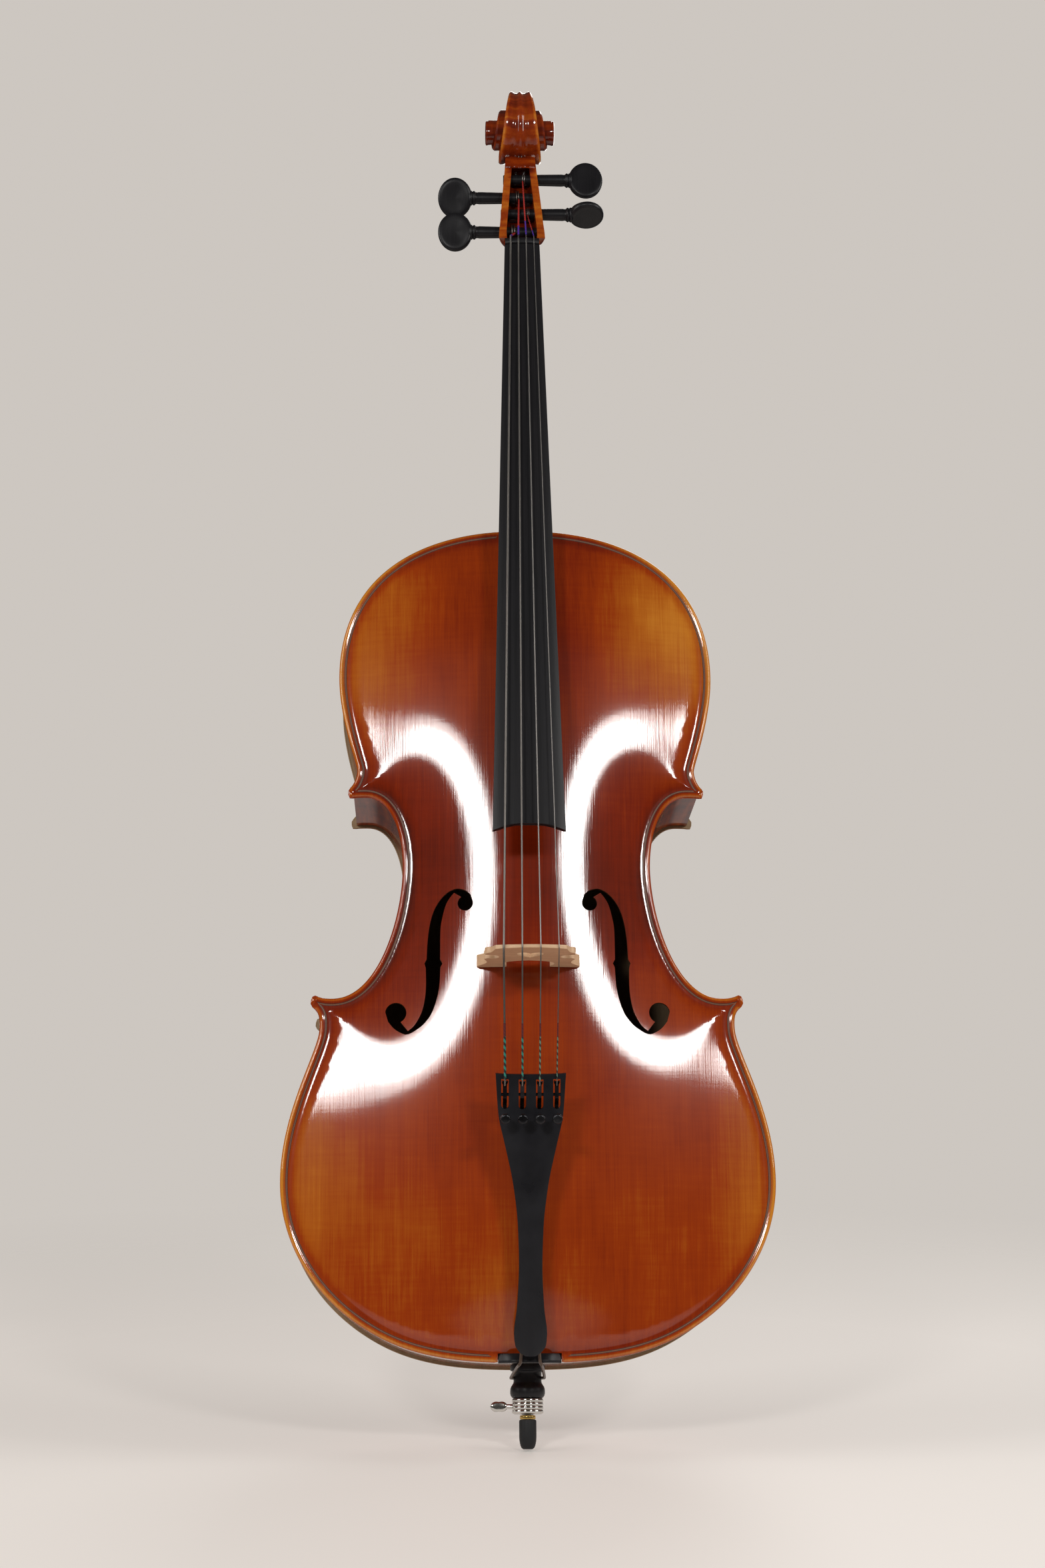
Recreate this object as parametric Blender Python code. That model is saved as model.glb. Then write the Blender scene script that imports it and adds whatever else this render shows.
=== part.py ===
"""A full-size cello, modelled as its maker builds it, from plates, ribs and blocks to fittings and strings.

Lengths in this file are in millimetres and become metres when a mesh is made. The part's frame: the origin is
the centre of the flat foot of the endpin's rubber tip, +Z runs up the body, the front faces -Y, and +X is the
treble side, on the right of someone who faces the instrument. The endpin's axis is the Z axis.
"""

import math

import bmesh
import bpy
import numpy as np
from mathutils import Matrix
from mathutils.bvhtree import BVHTree

# ---------------------------------------------------------------- driving dimensions (mm)
MM = 0.001
GAP = 0.3  # clearance kept between touching pieces
FAR = 400.0  # longer than anything that a cutter has to pass through

BODY_BASE = 71.0  # height of the body's lower edge above the foot of the endpin
BODY_LENGTH = 755.0
GLUE_Y = 59.25  # half the rib height: the planes where the plates are glued
EDGE_THICKNESS = 4.5
PLATE_THICKNESS = 4.3
ARCH_TOP = 23.5
ARCH_BACK = 25.0
CHANNEL_DEPTH = 1.1
CHANNEL_AT = 9.0  # distance of the channel's lowest line from the edge
OVERHANG = 2.8
RIB_THICKNESS = 1.8
LINING_THICKNESS = 2.0
LINING_DEPTH = 16.0
BUTTON_RADIUS = 14.5
BUTTON_TOP = 771.5

BOARD_NUT_Z = 1115.0  # where the fingerboard meets the nut
BOARD_END_Z = 523.8
BOARD_NUT_Y = -54.9  # the playing surface's edge at the nut
BOARD_SLOPE = 0.1456
BOARD_NUT_HALF = 16.5
BOARD_END_HALF = 32.0
BOARD_CAMBER = 62.0
BOARD_EDGE = 6.3

BRIDGE_FACE_Z = 413.0  # the face towards the tailpiece
BRIDGE_FOOT_DEPTH = 11.0
BRIDGE_TOP_DEPTH = 3.0
BRIDGE_CROWN_Y = -177.5
BRIDGE_CROWN_RADIUS = 68.0
BRIDGE_HALF = 45.5

SCROLL_Y = -3.5  # the scroll's eye
SCROLL_Z = 1255.0
SCROLL_RADIUS = 41.0
SCROLL_TIGHTENS_AT = 100.0  # degrees from the back, over the top
SCROLL_TURN_RATIO = 0.558
EYE_HALF = 33.75

TAIL_TOP_Y = -145.5
TAIL_TOP_Z = 309.0
TAIL_LEAN = math.radians(14.15)
TAIL_THICKNESS = 5.0
TAIL_CAMBER = 60.0
TUNER_AXLE_Y = 8.5  # in the tailpiece's own frame, like the other TUNER values
TUNER_AXLE_Z = -18.0
TUNER_SCREW_Z = -36.5
AXLE_RADIUS = 1.4

ROD_RADIUS = 5.0
ROD_TOP_Z = 470.0
THUMB_SCREW_Z = 36.6

# name: radius, then x at the nut, the bridge and the tailpiece
STRINGS = {
    "c": (0.95, -11.0, -23.65, -22.2),
    "g": (0.75, -3.7, -7.9, -7.4),
    "d": (0.60, 3.7, 7.9, 7.4),
    "a": (0.45, 11.0, 23.65, 22.2),
}
# name: side of the head, y, z, the head's turn in degrees, where its winding starts
PEGS = {
    "c": (-1, -31.5, 1137.5, 4.0, -6.5),
    "g": (-1, -19.5, 1178.6, 24.0, -2.0),
    "d": (1, -13.5, 1200.6, -6.0, 2.0),
    "a": (1, -25.5, 1159.0, 78.0, 6.0),
}

# Half of the body's outline from the bottom centre to the top centre, as Bezier curves:
# start, direction (degrees), handle, end, direction, handle, steps, and the spine's reach on the centre line
LOWER_BOUT = [
    ((0, 0), 0, 45, (129.1, 21.9), 27.5, 43, 3, (120, 135)),
    ((129.1, 21.9), 27.5, 60, (217, 157), 90, 57.5, 5, (135, 170)),
    ((217, 157), 90, 62.7, (183.9, 292), 90, 20.3, 4, (170, 258)),
    ((183.9, 292), 90, 7.4, (191.4, 311.3), 36, 10.4, 2, (258, 268)),
]
CENTRE_BOUT = [
    ((189.4, 321.6), 205, 7.2, (173, 318.1), 180, 5.3, 2, (275, 298)),
    ((173, 318.1), 180, 41.6, (111, 437), 90, 43.7, 5, (298, 437)),
    ((111, 437), 90, 28.6, (144.5, 501.4), 0, 24.3, 4, (437, 505)),
    ((144.5, 501.4), 0, 7.7, (158.4, 500.3), -18, 2.7, 2, (505, 532)),
]
UPPER_BOUT = [
    ((159.6, 509.6), 146, 5, (152.2, 526), 90, 5, 2, (538, 550)),
    ((152.2, 526), 90, 5, (169.3, 614), 90, 38, 3, (550, 600)),
    ((169.3, 614), 90, 93.3, (0, 755), 180, 102.2, 7, (600, 640)),
]
PLATE_RINGS = (0.0, 0.07, 0.2, 0.42, 0.72)

# One f-hole for x > 0, on the body's own height: the eyes, then the two long edges between them
UPPER_EYE = (55.2, 400.8, 6.8)
LOWER_EYE = (116.6, 303.5, 9.4)
F_OUTER_EDGE = [
    (50.5, 408.5), (55.0, 412.4), (61.7, 414.4), (66.4, 413.5), (71.7, 410.7), (77.7, 404.7), (83.0, 395.6),
    (86.5, 383.6), (88.6, 368.0), (89.4, 351.5), (91.4, 347.8), (90.2, 343.5), (90.0, 326.7), (91.1, 314.7),
    (94.0, 302.9), (99.9, 292.2), (105.7, 286.9),
]
F_INNER_EDGE = [
    (123.3, 295.8), (118.6, 289.9), (112.7, 285.7), (105.7, 283.9), (95.2, 289.8), (89.3, 295.7),
    (84.6, 302.9), (80.5, 314.7), (78.2, 326.6), (77.2, 343.5), (75.4, 347.0), (77.5, 351.0),
    (77.2, 377.5), (75.3, 389.6), (72.9, 398.7), (70.0, 404.7), (65.2, 410.7),
]

# ---------------------------------------------------------------- a clean scene and the materials
for startup_object in list(bpy.data.objects):
    bpy.data.objects.remove(startup_object)


def material(name, colour, roughness, metallic=0.0):
    made = bpy.data.materials.new(name)
    made.use_nodes = True
    shader = made.node_tree.nodes["Principled BSDF"]
    shader.inputs["Base Color"].default_value = (*colour, 1.0)
    shader.inputs["Roughness"].default_value = roughness
    shader.inputs["Metallic"].default_value = metallic
    return made


SPRUCE = material("varnished_spruce", (0.30, 0.065, 0.012), 0.22)
MAPLE = material("varnished_maple", (0.22, 0.045, 0.012), 0.25)
BARE_WOOD = material("bare_spruce", (0.62, 0.43, 0.24), 0.7)
BRIDGE_WOOD = material("bridge_maple", (0.68, 0.47, 0.29), 0.55)
BLACK_WOOD = material("ebony", (0.018, 0.017, 0.019), 0.42)
PLASTIC = material("black_composite", (0.016, 0.016, 0.019), 0.38)
BLACK_METAL = material("black_metal", (0.02, 0.02, 0.022), 0.3, 0.9)
CHROME = material("chrome", (0.62, 0.61, 0.58), 0.12, 1.0)
BRASS = material("brass", (0.60, 0.42, 0.16), 0.3, 1.0)
STEEL = material("string_steel", (0.50, 0.49, 0.48), 0.3, 1.0)
GUT = material("tailgut", (0.03, 0.018, 0.012), 0.5)
RUBBER = material("rubber", (0.02, 0.02, 0.021), 0.75)


# ---------------------------------------------------------------- making and joining meshes
def add_mesh(name, bm, look, place=None, smooth_below=35.0):
    """A named object from a bmesh in millimetres; place is a matrix in millimetres."""
    if place is not None:
        bm.transform(place)
    bm.normal_update()
    bmesh.ops.recalc_face_normals(bm, faces=bm.faces)
    bm.transform(Matrix.Scale(MM, 4))
    mesh = bpy.data.meshes.new(name)
    bm.to_mesh(mesh)
    bm.free()
    mesh.shade_smooth()
    mesh.set_sharp_from_angle(angle=math.radians(smooth_below))
    mesh.materials.append(look)
    made = bpy.data.objects.new(name, mesh)
    bpy.context.scene.collection.objects.link(made)
    return made


def put_origin_at(piece, point):
    """Moves an object's origin to a point in millimetres and leaves its shape where it is."""
    shift = Matrix.Translation([-value * MM for value in point])
    piece.data.transform(shift)
    piece.location = [value * MM for value in point]


def loft(rings, closed_path=False):
    """A closed bmesh through rings of equally many points; the ends are capped unless the path closes."""
    bm = bmesh.new()
    rows = [[bm.verts.new(point) for point in ring] for ring in rings]
    pairs = list(zip(rows, rows[1:]))
    if closed_path:
        pairs.append((rows[-1], rows[0]))
    for one, two in pairs:
        for k in range(len(one)):
            follow = (k + 1) % len(one)
            bm.faces.new((one[k], one[follow], two[follow], two[k]))
    if not closed_path:
        bm.faces.new(rows[0])
        bm.faces.new(rows[-1][::-1])
    return bm


def turned(profile, steps):
    """Spins a profile of (radius, height) round the Z axis. One that ends off the axis closes on itself."""
    bm = bmesh.new()
    points = [bm.verts.new((radius, 0, height)) for radius, height in profile]
    loops = list(zip(points, points[1:]))
    if profile[0][0] > 0:
        loops.append((points[-1], points[0]))
    edges = [bm.edges.new(pair) for pair in loops]
    bmesh.ops.spin(bm, geom=points + edges, axis=(0, 0, 1), cent=(0, 0, 0), angle=2 * math.pi, steps=steps)
    bmesh.ops.remove_doubles(bm, verts=bm.verts, dist=1e-4)
    return bm


def prism(outline, low, high, place=None):
    """An outline of (x, z) points extruded along Y from low to high."""
    bm = bmesh.new()
    face = bm.faces.new([bm.verts.new((x, low, z)) for x, z in outline])
    pushed = bmesh.ops.extrude_face_region(bm, geom=[face])["geom"]
    moved = [item for item in pushed if isinstance(item, bmesh.types.BMVert)]
    bmesh.ops.translate(bm, verts=moved, vec=(0, high - low, 0))
    if place is not None:
        bm.transform(place)
    return bm


def block(low, high):
    bm = bmesh.new()
    bmesh.ops.create_cube(bm, size=1.0)
    size = [b - a for a, b in zip(low, high)]
    centre = [(a + b) / 2 for a, b in zip(low, high)]
    bm.transform(Matrix.Translation(centre) @ Matrix.Diagonal((*size, 1.0)))
    return bm


def rod(radius, low, high, steps=16):
    """A cylinder on the Z axis."""
    return turned([(0, high), (radius, high), (radius, low), (0, low)], steps)


def helper(name, bm, place=None):
    """A cutter, or a solid to be joined into another: it isn't shown itself."""
    made = add_mesh(name, bm, BARE_WOOD, place)
    made.hide_render = True
    made.display_type = "WIRE"
    return made


def combine(target, other, operation):
    modifier = target.modifiers.new(f"{operation.lower()} {other.name}", "BOOLEAN")
    modifier.operation = operation
    modifier.solver = "EXACT"
    modifier.object = other


def cut(target, cutter):
    combine(target, cutter, "DIFFERENCE")


def join(target, other):
    combine(target, other, "UNION")


def cord(name, points, radius, look):
    """A round cord along points in millimetres."""
    curve = bpy.data.curves.new(name, "CURVE")
    curve.dimensions = "3D"
    curve.bevel_depth = radius * MM
    curve.bevel_resolution = 2
    curve.use_fill_caps = True
    spline = curve.splines.new("POLY")
    spline.points.add(len(points) - 1)
    for target, point in zip(spline.points, points):
        target.co = (*[value * MM for value in point], 1.0)
    curve.materials.append(look)
    made = bpy.data.objects.new(name, curve)
    bpy.context.scene.collection.objects.link(made)
    return made


# ---------------------------------------------------------------- the outline and the arching
def bezier(start, start_angle, start_handle, end, end_angle, end_handle, steps):
    ends = [np.array(start, float), np.array(end, float)]
    angles = [math.radians(start_angle), math.radians(end_angle)]
    lean = [np.array([math.cos(angle), math.sin(angle)]) for angle in angles]
    one, two = ends[0] + start_handle * lean[0], ends[1] - end_handle * lean[1]
    found = []
    for k in range(steps + 1):
        t = k / steps
        weights = ((1 - t) ** 3, 3 * (1 - t) ** 2 * t, 3 * (1 - t) * t * t, t**3)
        found.append(sum(w * p for w, p in zip(weights, (ends[0], one, two, ends[1]))))
    return found


def bout(curves, fineness=1):
    """Points (x, z) along joined curves, with no point twice."""
    points = []
    for *curve, steps, _ in curves:
        points += bezier(*curve, steps * fineness)[bool(points):]
    return np.array(points)


def half_outline():
    """The half outline's points and, for each, the height on the centre line that its ray runs to."""
    points, spine = [], []
    for curves in (LOWER_BOUT, CENTRE_BOUT, UPPER_BOUT):
        for number, (*curve, steps, reach) in enumerate(curves):
            skip = 1 if number else 0
            points += bezier(*curve, steps)[skip:]
            spine += list(np.linspace(*reach, steps + 1))[skip:]
    return np.array(points), np.array(spine)


FINE_OUTLINE = np.vstack([bout(curves, 4) for curves in (LOWER_BOUT, CENTRE_BOUT, UPPER_BOUT)])
SPINE_LOW, SPINE_HIGH = 150.0, 625.0


def arch_share(x, z):
    """How far up the arch a point of the plate is: 0 at the edge and 1 on the spine."""
    spot = np.array([abs(x), z])
    start, end = FINE_OUTLINE[:-1], FINE_OUTLINE[1:]
    run = end - start
    along = np.clip(((spot - start) * run).sum(1) / (run * run).sum(1), 0, 1)
    to_edge = np.sqrt((((start + along[:, None] * run) - spot) ** 2).sum(1)).min()
    beyond = max(SPINE_LOW - z, z - SPINE_HIGH, 0.0)
    to_spine = math.hypot(x, beyond)
    share = to_edge / (to_edge + to_spine + 1e-9)
    return share, to_edge


def rise(x, z, arch):
    """How far the plate's outer surface stands above its edge, from a curve that is hollow and then full."""
    share, to_edge = arch_share(x, z)
    lift = arch * (1 - math.cos(math.pi * share**0.7)) / 2
    channel = CHANNEL_DEPTH * math.exp(-(((to_edge - CHANNEL_AT) / 5.0) ** 2))
    return lift - channel * min(1.0, to_edge / 4.0)


def plate_heights(x, z, arch):
    """(outer, inner) height above the glue plane."""
    outer = EDGE_THICKNESS + rise(x, z, arch)
    return outer, max(0.0, outer - PLATE_THICKNESS)


def plate(arch, side, button=False):
    """A carved plate as a bmesh. side is -1 for the top, which faces -Y, and 1 for the back."""
    points, spine = half_outline()
    if button:
        arc = [math.radians(angle) for angle in (0, 30, 60, 90)]
        centre = BUTTON_TOP - BUTTON_RADIUS
        ring = [(BUTTON_RADIUS * math.cos(a), centre + BUTTON_RADIUS * math.sin(a)) for a in arc]
        inside = points[:, 0] > BUTTON_RADIUS
        inside[0] = True
        inside[: len(points) // 2] = True
        points = np.vstack([points[inside], [(BUTTON_RADIUS, 754.8)], ring])
        spine = np.append(spine[inside], [640.0] * 5)
    bm = bmesh.new()
    layers = []
    for inner in (0, 1):
        rows = []
        for share in PLATE_RINGS:
            right, left = [], []
            for (x, z), reach in zip(points, spine):
                px, pz = x * (1 - share), z + (reach - z) * share
                height = plate_heights(px, pz, arch)[inner]
                y = side * (GLUE_Y + height)
                right.append(bm.verts.new((px, y, pz + BODY_BASE)))
                on_centre = abs(px) < 1e-6
                left.append(right[-1] if on_centre else bm.verts.new((-px, y, pz + BODY_BASE)))
            rows.append(right + left[-2:0:-1])
        layers.append(rows)
        for one, two in zip(rows, rows[1:]):
            for k in range(len(one)):
                follow = (k + 1) % len(one)
                bm.faces.new((one[k], one[follow], two[follow], two[k]))
        last, count = rows[-1], len(points)
        for k in range(count - 1):
            corners = [last[k], last[k + 1], last[-(k + 1)], last[-k]]
            if k == 0:
                corners = [last[0], last[1], last[-1]]
            elif k == count - 2:
                corners = [last[k], last[k + 1], last[-k]]
            bm.faces.new(corners)
    outer_edge, inner_edge = layers[0][0], layers[1][0]
    for k in range(len(outer_edge)):
        follow = (k + 1) % len(outer_edge)
        bm.faces.new((outer_edge[k], outer_edge[follow], inner_edge[follow], inner_edge[k]))
    return bm


def offset(points, distance):
    """A line of (x, z) points moved towards the inside of the body."""
    run = np.gradient(points, axis=0)
    run /= np.linalg.norm(run, axis=1)[:, None]
    return points + distance * np.column_stack([-run[:, 1], run[:, 0]])


def trimmed(points, from_start, from_end):
    """A line shortened by these lengths at its two ends."""
    step = np.linalg.norm(np.diff(points, axis=0), axis=1)
    reach = np.append(0, np.cumsum(step))
    low, high = from_start, reach[-1] - from_end
    kept = (reach > low + 1) & (reach < high - 1)
    ends = [[np.interp(at, reach, points[:, axis]) for axis in (0, 1)] for at in (low, high)]
    return np.vstack([ends[0], points[kept], ends[1]])


def strip(line, near, far, low, high, mirror):
    """A strip of wood that follows the outline, between two offsets from it and two depths."""
    rings = []
    for (x_near, z_near), (x_far, z_far) in zip(offset(line, near), offset(line, far)):
        corners = ((x_near, low, z_near), (x_near, high, z_near), (x_far, high, z_far), (x_far, low, z_far))
        rings.append([(mirror * max(x, GAP / 2), y, z + BODY_BASE) for x, y, z in corners])
    return loft(rings)


# ---------------------------------------------------------------- the sound box
def f_hole_outline():
    def around(eye, start, end, steps):
        x, z, radius = eye
        angles = np.radians(np.linspace(start, end, steps))
        return [(x + radius * math.cos(a), z + radius * math.sin(a)) for a in angles]

    upper = around(UPPER_EYE, 58, -192, 9)
    lower = around(LOWER_EYE, -118, -352, 9)
    return upper + F_OUTER_EDGE + lower + F_INNER_EDGE


def make_plates():
    top = add_mesh("top_plate", plate(ARCH_TOP, -1), SPRUCE)
    for side in (-1, 1):
        outline = [(side * x, z + BODY_BASE) for x, z in f_hole_outline()]
        name = "treble" if side > 0 else "bass"
        cut(top, helper(f"f_hole_cutter_{name}", prism(outline, -FAR / 2, -30)))
    saddle_seat = block((-27.6, -FAR / 2, BODY_BASE - 10), (27.6, 0, BODY_BASE + 8.3))
    cut(top, helper("saddle_seat_cutter", saddle_seat))
    neck_seat = block((-22.6, -FAR / 2, BODY_BASE + 752.1), (22.6, 0, BODY_BASE + 800))
    cut(top, helper("neck_seat_cutter", neck_seat))
    add_mesh("back_plate", plate(ARCH_BACK, 1, button=True), MAPLE)


def make_ribs():
    depth = GLUE_Y - GAP
    plug_cutter = helper("plug_bore_cutter", rod(13.4, BODY_BASE - 20, BODY_BASE + 60, 20))
    mortise_cutter = helper("mortise_cutter", block((-13, -50.3, 816.7), (13, 50.3, 860)))
    near, far = OVERHANG, OVERHANG + RIB_THICKNESS
    for name, mirror in (("bass", -1), ("treble", 1)):
        lower = trimmed(bout(LOWER_BOUT), GAP / 2, 3.5)
        centre = trimmed(bout(CENTRE_BOUT), 3.5, 3.5)
        upper = trimmed(bout(UPPER_BOUT), 3.5, GAP / 2)
        lower_rib = add_mesh(f"lower_rib_{name}", strip(lower, near, far, -depth, depth, mirror), MAPLE)
        cut(lower_rib, plug_cutter)
        add_mesh(f"centre_rib_{name}", strip(centre, near, far, -depth, depth, mirror), MAPLE)
        upper_rib = add_mesh(f"upper_rib_{name}", strip(upper, near, far, -depth, depth, mirror), MAPLE)
        cut(upper_rib, mortise_cutter)
    return plug_cutter, mortise_cutter


def make_blocks(plug_cutter, mortise_cutter):
    depth = GLUE_Y - GAP
    inset = OVERHANG + RIB_THICKNESS + GAP

    def run(curves, low, high):
        """The ribs' inner face over part of a bout; a negative length counts back from the bout's end."""
        line = offset(bout(curves), inset)
        length = np.linalg.norm(np.diff(line, axis=0), axis=1).sum()
        return trimmed(line, low % length, -high % length)

    def centre_block(name, side, straight_z, cutter):
        """A block on the centre line: curved against the ribs and flat towards the inside."""
        half = [(x, z) for x, z in side if x > 1]
        reach = half[-1][0]
        outline = [(-x, z) for x, z in half[::-1]] + half + [(reach, straight_z), (-reach, straight_z)]
        outline = [(x, z + BODY_BASE) for x, z in outline]
        cut(add_mesh(name, prism(outline, -depth, depth), BARE_WOOD), cutter)

    centre_block("end_block", run(LOWER_BOUT, 0.01, 32), 27, plug_cutter)
    centre_block("neck_block", run(UPPER_BOUT, -33, -0.01)[::-1], 727, mortise_cutter)

    lower_corner = np.vstack([run(LOWER_BOUT, -46, -9), run(CENTRE_BOUT, 9, 42)])
    upper_corner = np.vstack([run(CENTRE_BOUT, -38, -9), run(UPPER_BOUT, 9, 36)])
    for name, mirror in (("bass", -1), ("treble", 1)):
        for level, corner in (("lower", lower_corner), ("upper", upper_corner)):
            outline = [(mirror * x, z + BODY_BASE) for x, z in corner]
            add_mesh(f"corner_block_{level}_{name}", prism(outline, -depth, depth), BARE_WOOD)


def make_linings():
    near = OVERHANG + RIB_THICKNESS + GAP
    far = near + LINING_THICKNESS
    runs = {
        "lower": trimmed(bout(LOWER_BOUT), 36, 46),
        "centre": trimmed(bout(CENTRE_BOUT), 52, 42),
        "upper": trimmed(bout(UPPER_BOUT), 42, 37),
    }
    depth = GLUE_Y - GAP
    spans = (("top", -depth, LINING_DEPTH - depth), ("back", depth - LINING_DEPTH, depth))
    for plate_name, low, high in spans:
        for name, mirror in (("bass", -1), ("treble", 1)):
            for level, line in runs.items():
                piece = strip(line, near, far, low, high, mirror)
                add_mesh(f"lining_{plate_name}_{level}_{name}", piece, BARE_WOOD)


def depth_at(tree, spots, side, outside=False):
    """The least |y| of a plate's surface over (x, z) spots; outside looks at its outer face instead."""
    found = []
    for x, z in spots:
        start, way = ((x, side * FAR, z), (0, -side, 0)) if outside else ((x, 0, z), (0, side, 0))
        found.append(abs(tree.ray_cast(start, way)[0].y))
    return max(found) if outside else min(found)


TOP_SURFACE = BVHTree.FromBMesh(plate(ARCH_TOP, -1))
BACK_SURFACE = BVHTree.FromBMesh(plate(ARCH_BACK, 1, button=True))


def make_bass_bar():
    """A spruce bar inside the top, under the bridge's bass foot, fitted to the arch and tapered."""
    length, middle, width = 580.0, 385.0, 11.0
    rings = []
    for k in range(13):
        share = k / 12
        z = middle - length / 2 + share * length
        x = -30.0 - 5.0 * (0.5 - share)
        height = 7.0 + 16.0 * math.sin(math.pi * share)
        across = (-width / 2, 0, width / 2)
        spots = [(x + dx, z + BODY_BASE + dz) for dx in across for dz in (-24, -12, 0, 12, 24)]
        y = -(depth_at(TOP_SURFACE, spots, -1) - GAP)
        sides = ((-width / 2, 0), (width / 2, 0), (width / 2 - 2, height), (2 - width / 2, height))
        rings.append([(x + dx, y + dy, z + BODY_BASE) for dx, dy in sides])
    add_mesh("bass_bar", loft(rings), BARE_WOOD)


def make_sound_post():
    x, z, radius = 31.0, 401.0, 5.5
    spots = [(x + radius * math.cos(a), z + radius * math.sin(a)) for a in np.linspace(0, 2 * math.pi, 12)]
    front = depth_at(TOP_SURFACE, spots, -1) - GAP
    back = depth_at(BACK_SURFACE, spots, 1) - GAP
    place = Matrix.Translation((x, 0, z)) @ Matrix.Rotation(math.radians(-90), 4, "X")
    add_mesh("sound_post", rod(radius, -front, back, 14), BARE_WOOD, place)


# ---------------------------------------------------------------- the neck, pegbox and scroll
def board_edge(z):
    """y of the fingerboard's upper edge at a height above the foot."""
    return BOARD_NUT_Y - (BOARD_NUT_Z - z) * BOARD_SLOPE


def board_half(z):
    share = (BOARD_NUT_Z - z) / (BOARD_NUT_Z - BOARD_END_Z)
    return BOARD_NUT_HALF + share * (BOARD_END_HALF - BOARD_NUT_HALF)


def camber(x, half):
    """How far the playing surface stands above its edge."""
    return math.sqrt(BOARD_CAMBER**2 - x * x) - math.sqrt(BOARD_CAMBER**2 - half * half)


def neck_ring(z, front, back, half_front, half_back, squareness, points=11):
    """A cross-section: flat in front and rounded behind. squareness 2 gives half an ellipse."""
    ring = []
    for angle in np.linspace(0, math.pi, points):
        share = abs(math.sin(angle)) ** (2 / squareness)
        half = half_front + (half_back - half_front) * share
        ring.append((half * math.cos(angle), front + (back - front) * share, z))
    return ring


def scroll_radius(angle):
    """The spiral's radius: angle in degrees from the back, over the top to the front."""
    return SCROLL_RADIUS * SCROLL_TURN_RATIO ** (max(0.0, angle - SCROLL_TIGHTENS_AT) / 360)


def scroll_half(angle):
    """Half the width of the spiral's band."""
    at = (0, 60, 95, 180, 270, 330, 360, 450, 540, 630, 720, 810, 900)
    half = (13, 10.6, 9.6, 15.3, 20.5, 20.0, 19.0, 19.5, 23, 26, 28, 31, EYE_HALF)
    return float(np.interp(angle, at, half))


def scroll_turn(first, last, step, middle_half):
    """One turn of the volute as a closed solid: a rim of varying width and two sides drawn to the middle."""
    bm = bmesh.new()
    angles = np.arange(first, last + 1, step)
    rows = {-1: [], 1: []}
    for side in rows:
        for angle in angles:
            y = SCROLL_Y + scroll_radius(angle) * math.cos(math.radians(angle))
            z = SCROLL_Z + scroll_radius(angle) * math.sin(math.radians(angle))
            rows[side].append(bm.verts.new((side * scroll_half(angle), y, z)))
    hubs = {side: bm.verts.new((side * middle_half, SCROLL_Y, SCROLL_Z)) for side in rows}
    for k in range(len(angles)):
        follow = (k + 1) % len(angles)
        bm.faces.new((rows[-1][k], rows[-1][follow], rows[1][follow], rows[1][k]))
        for side in rows:
            bm.faces.new((rows[side][k], rows[side][follow], hubs[side]))
    return bm


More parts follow.
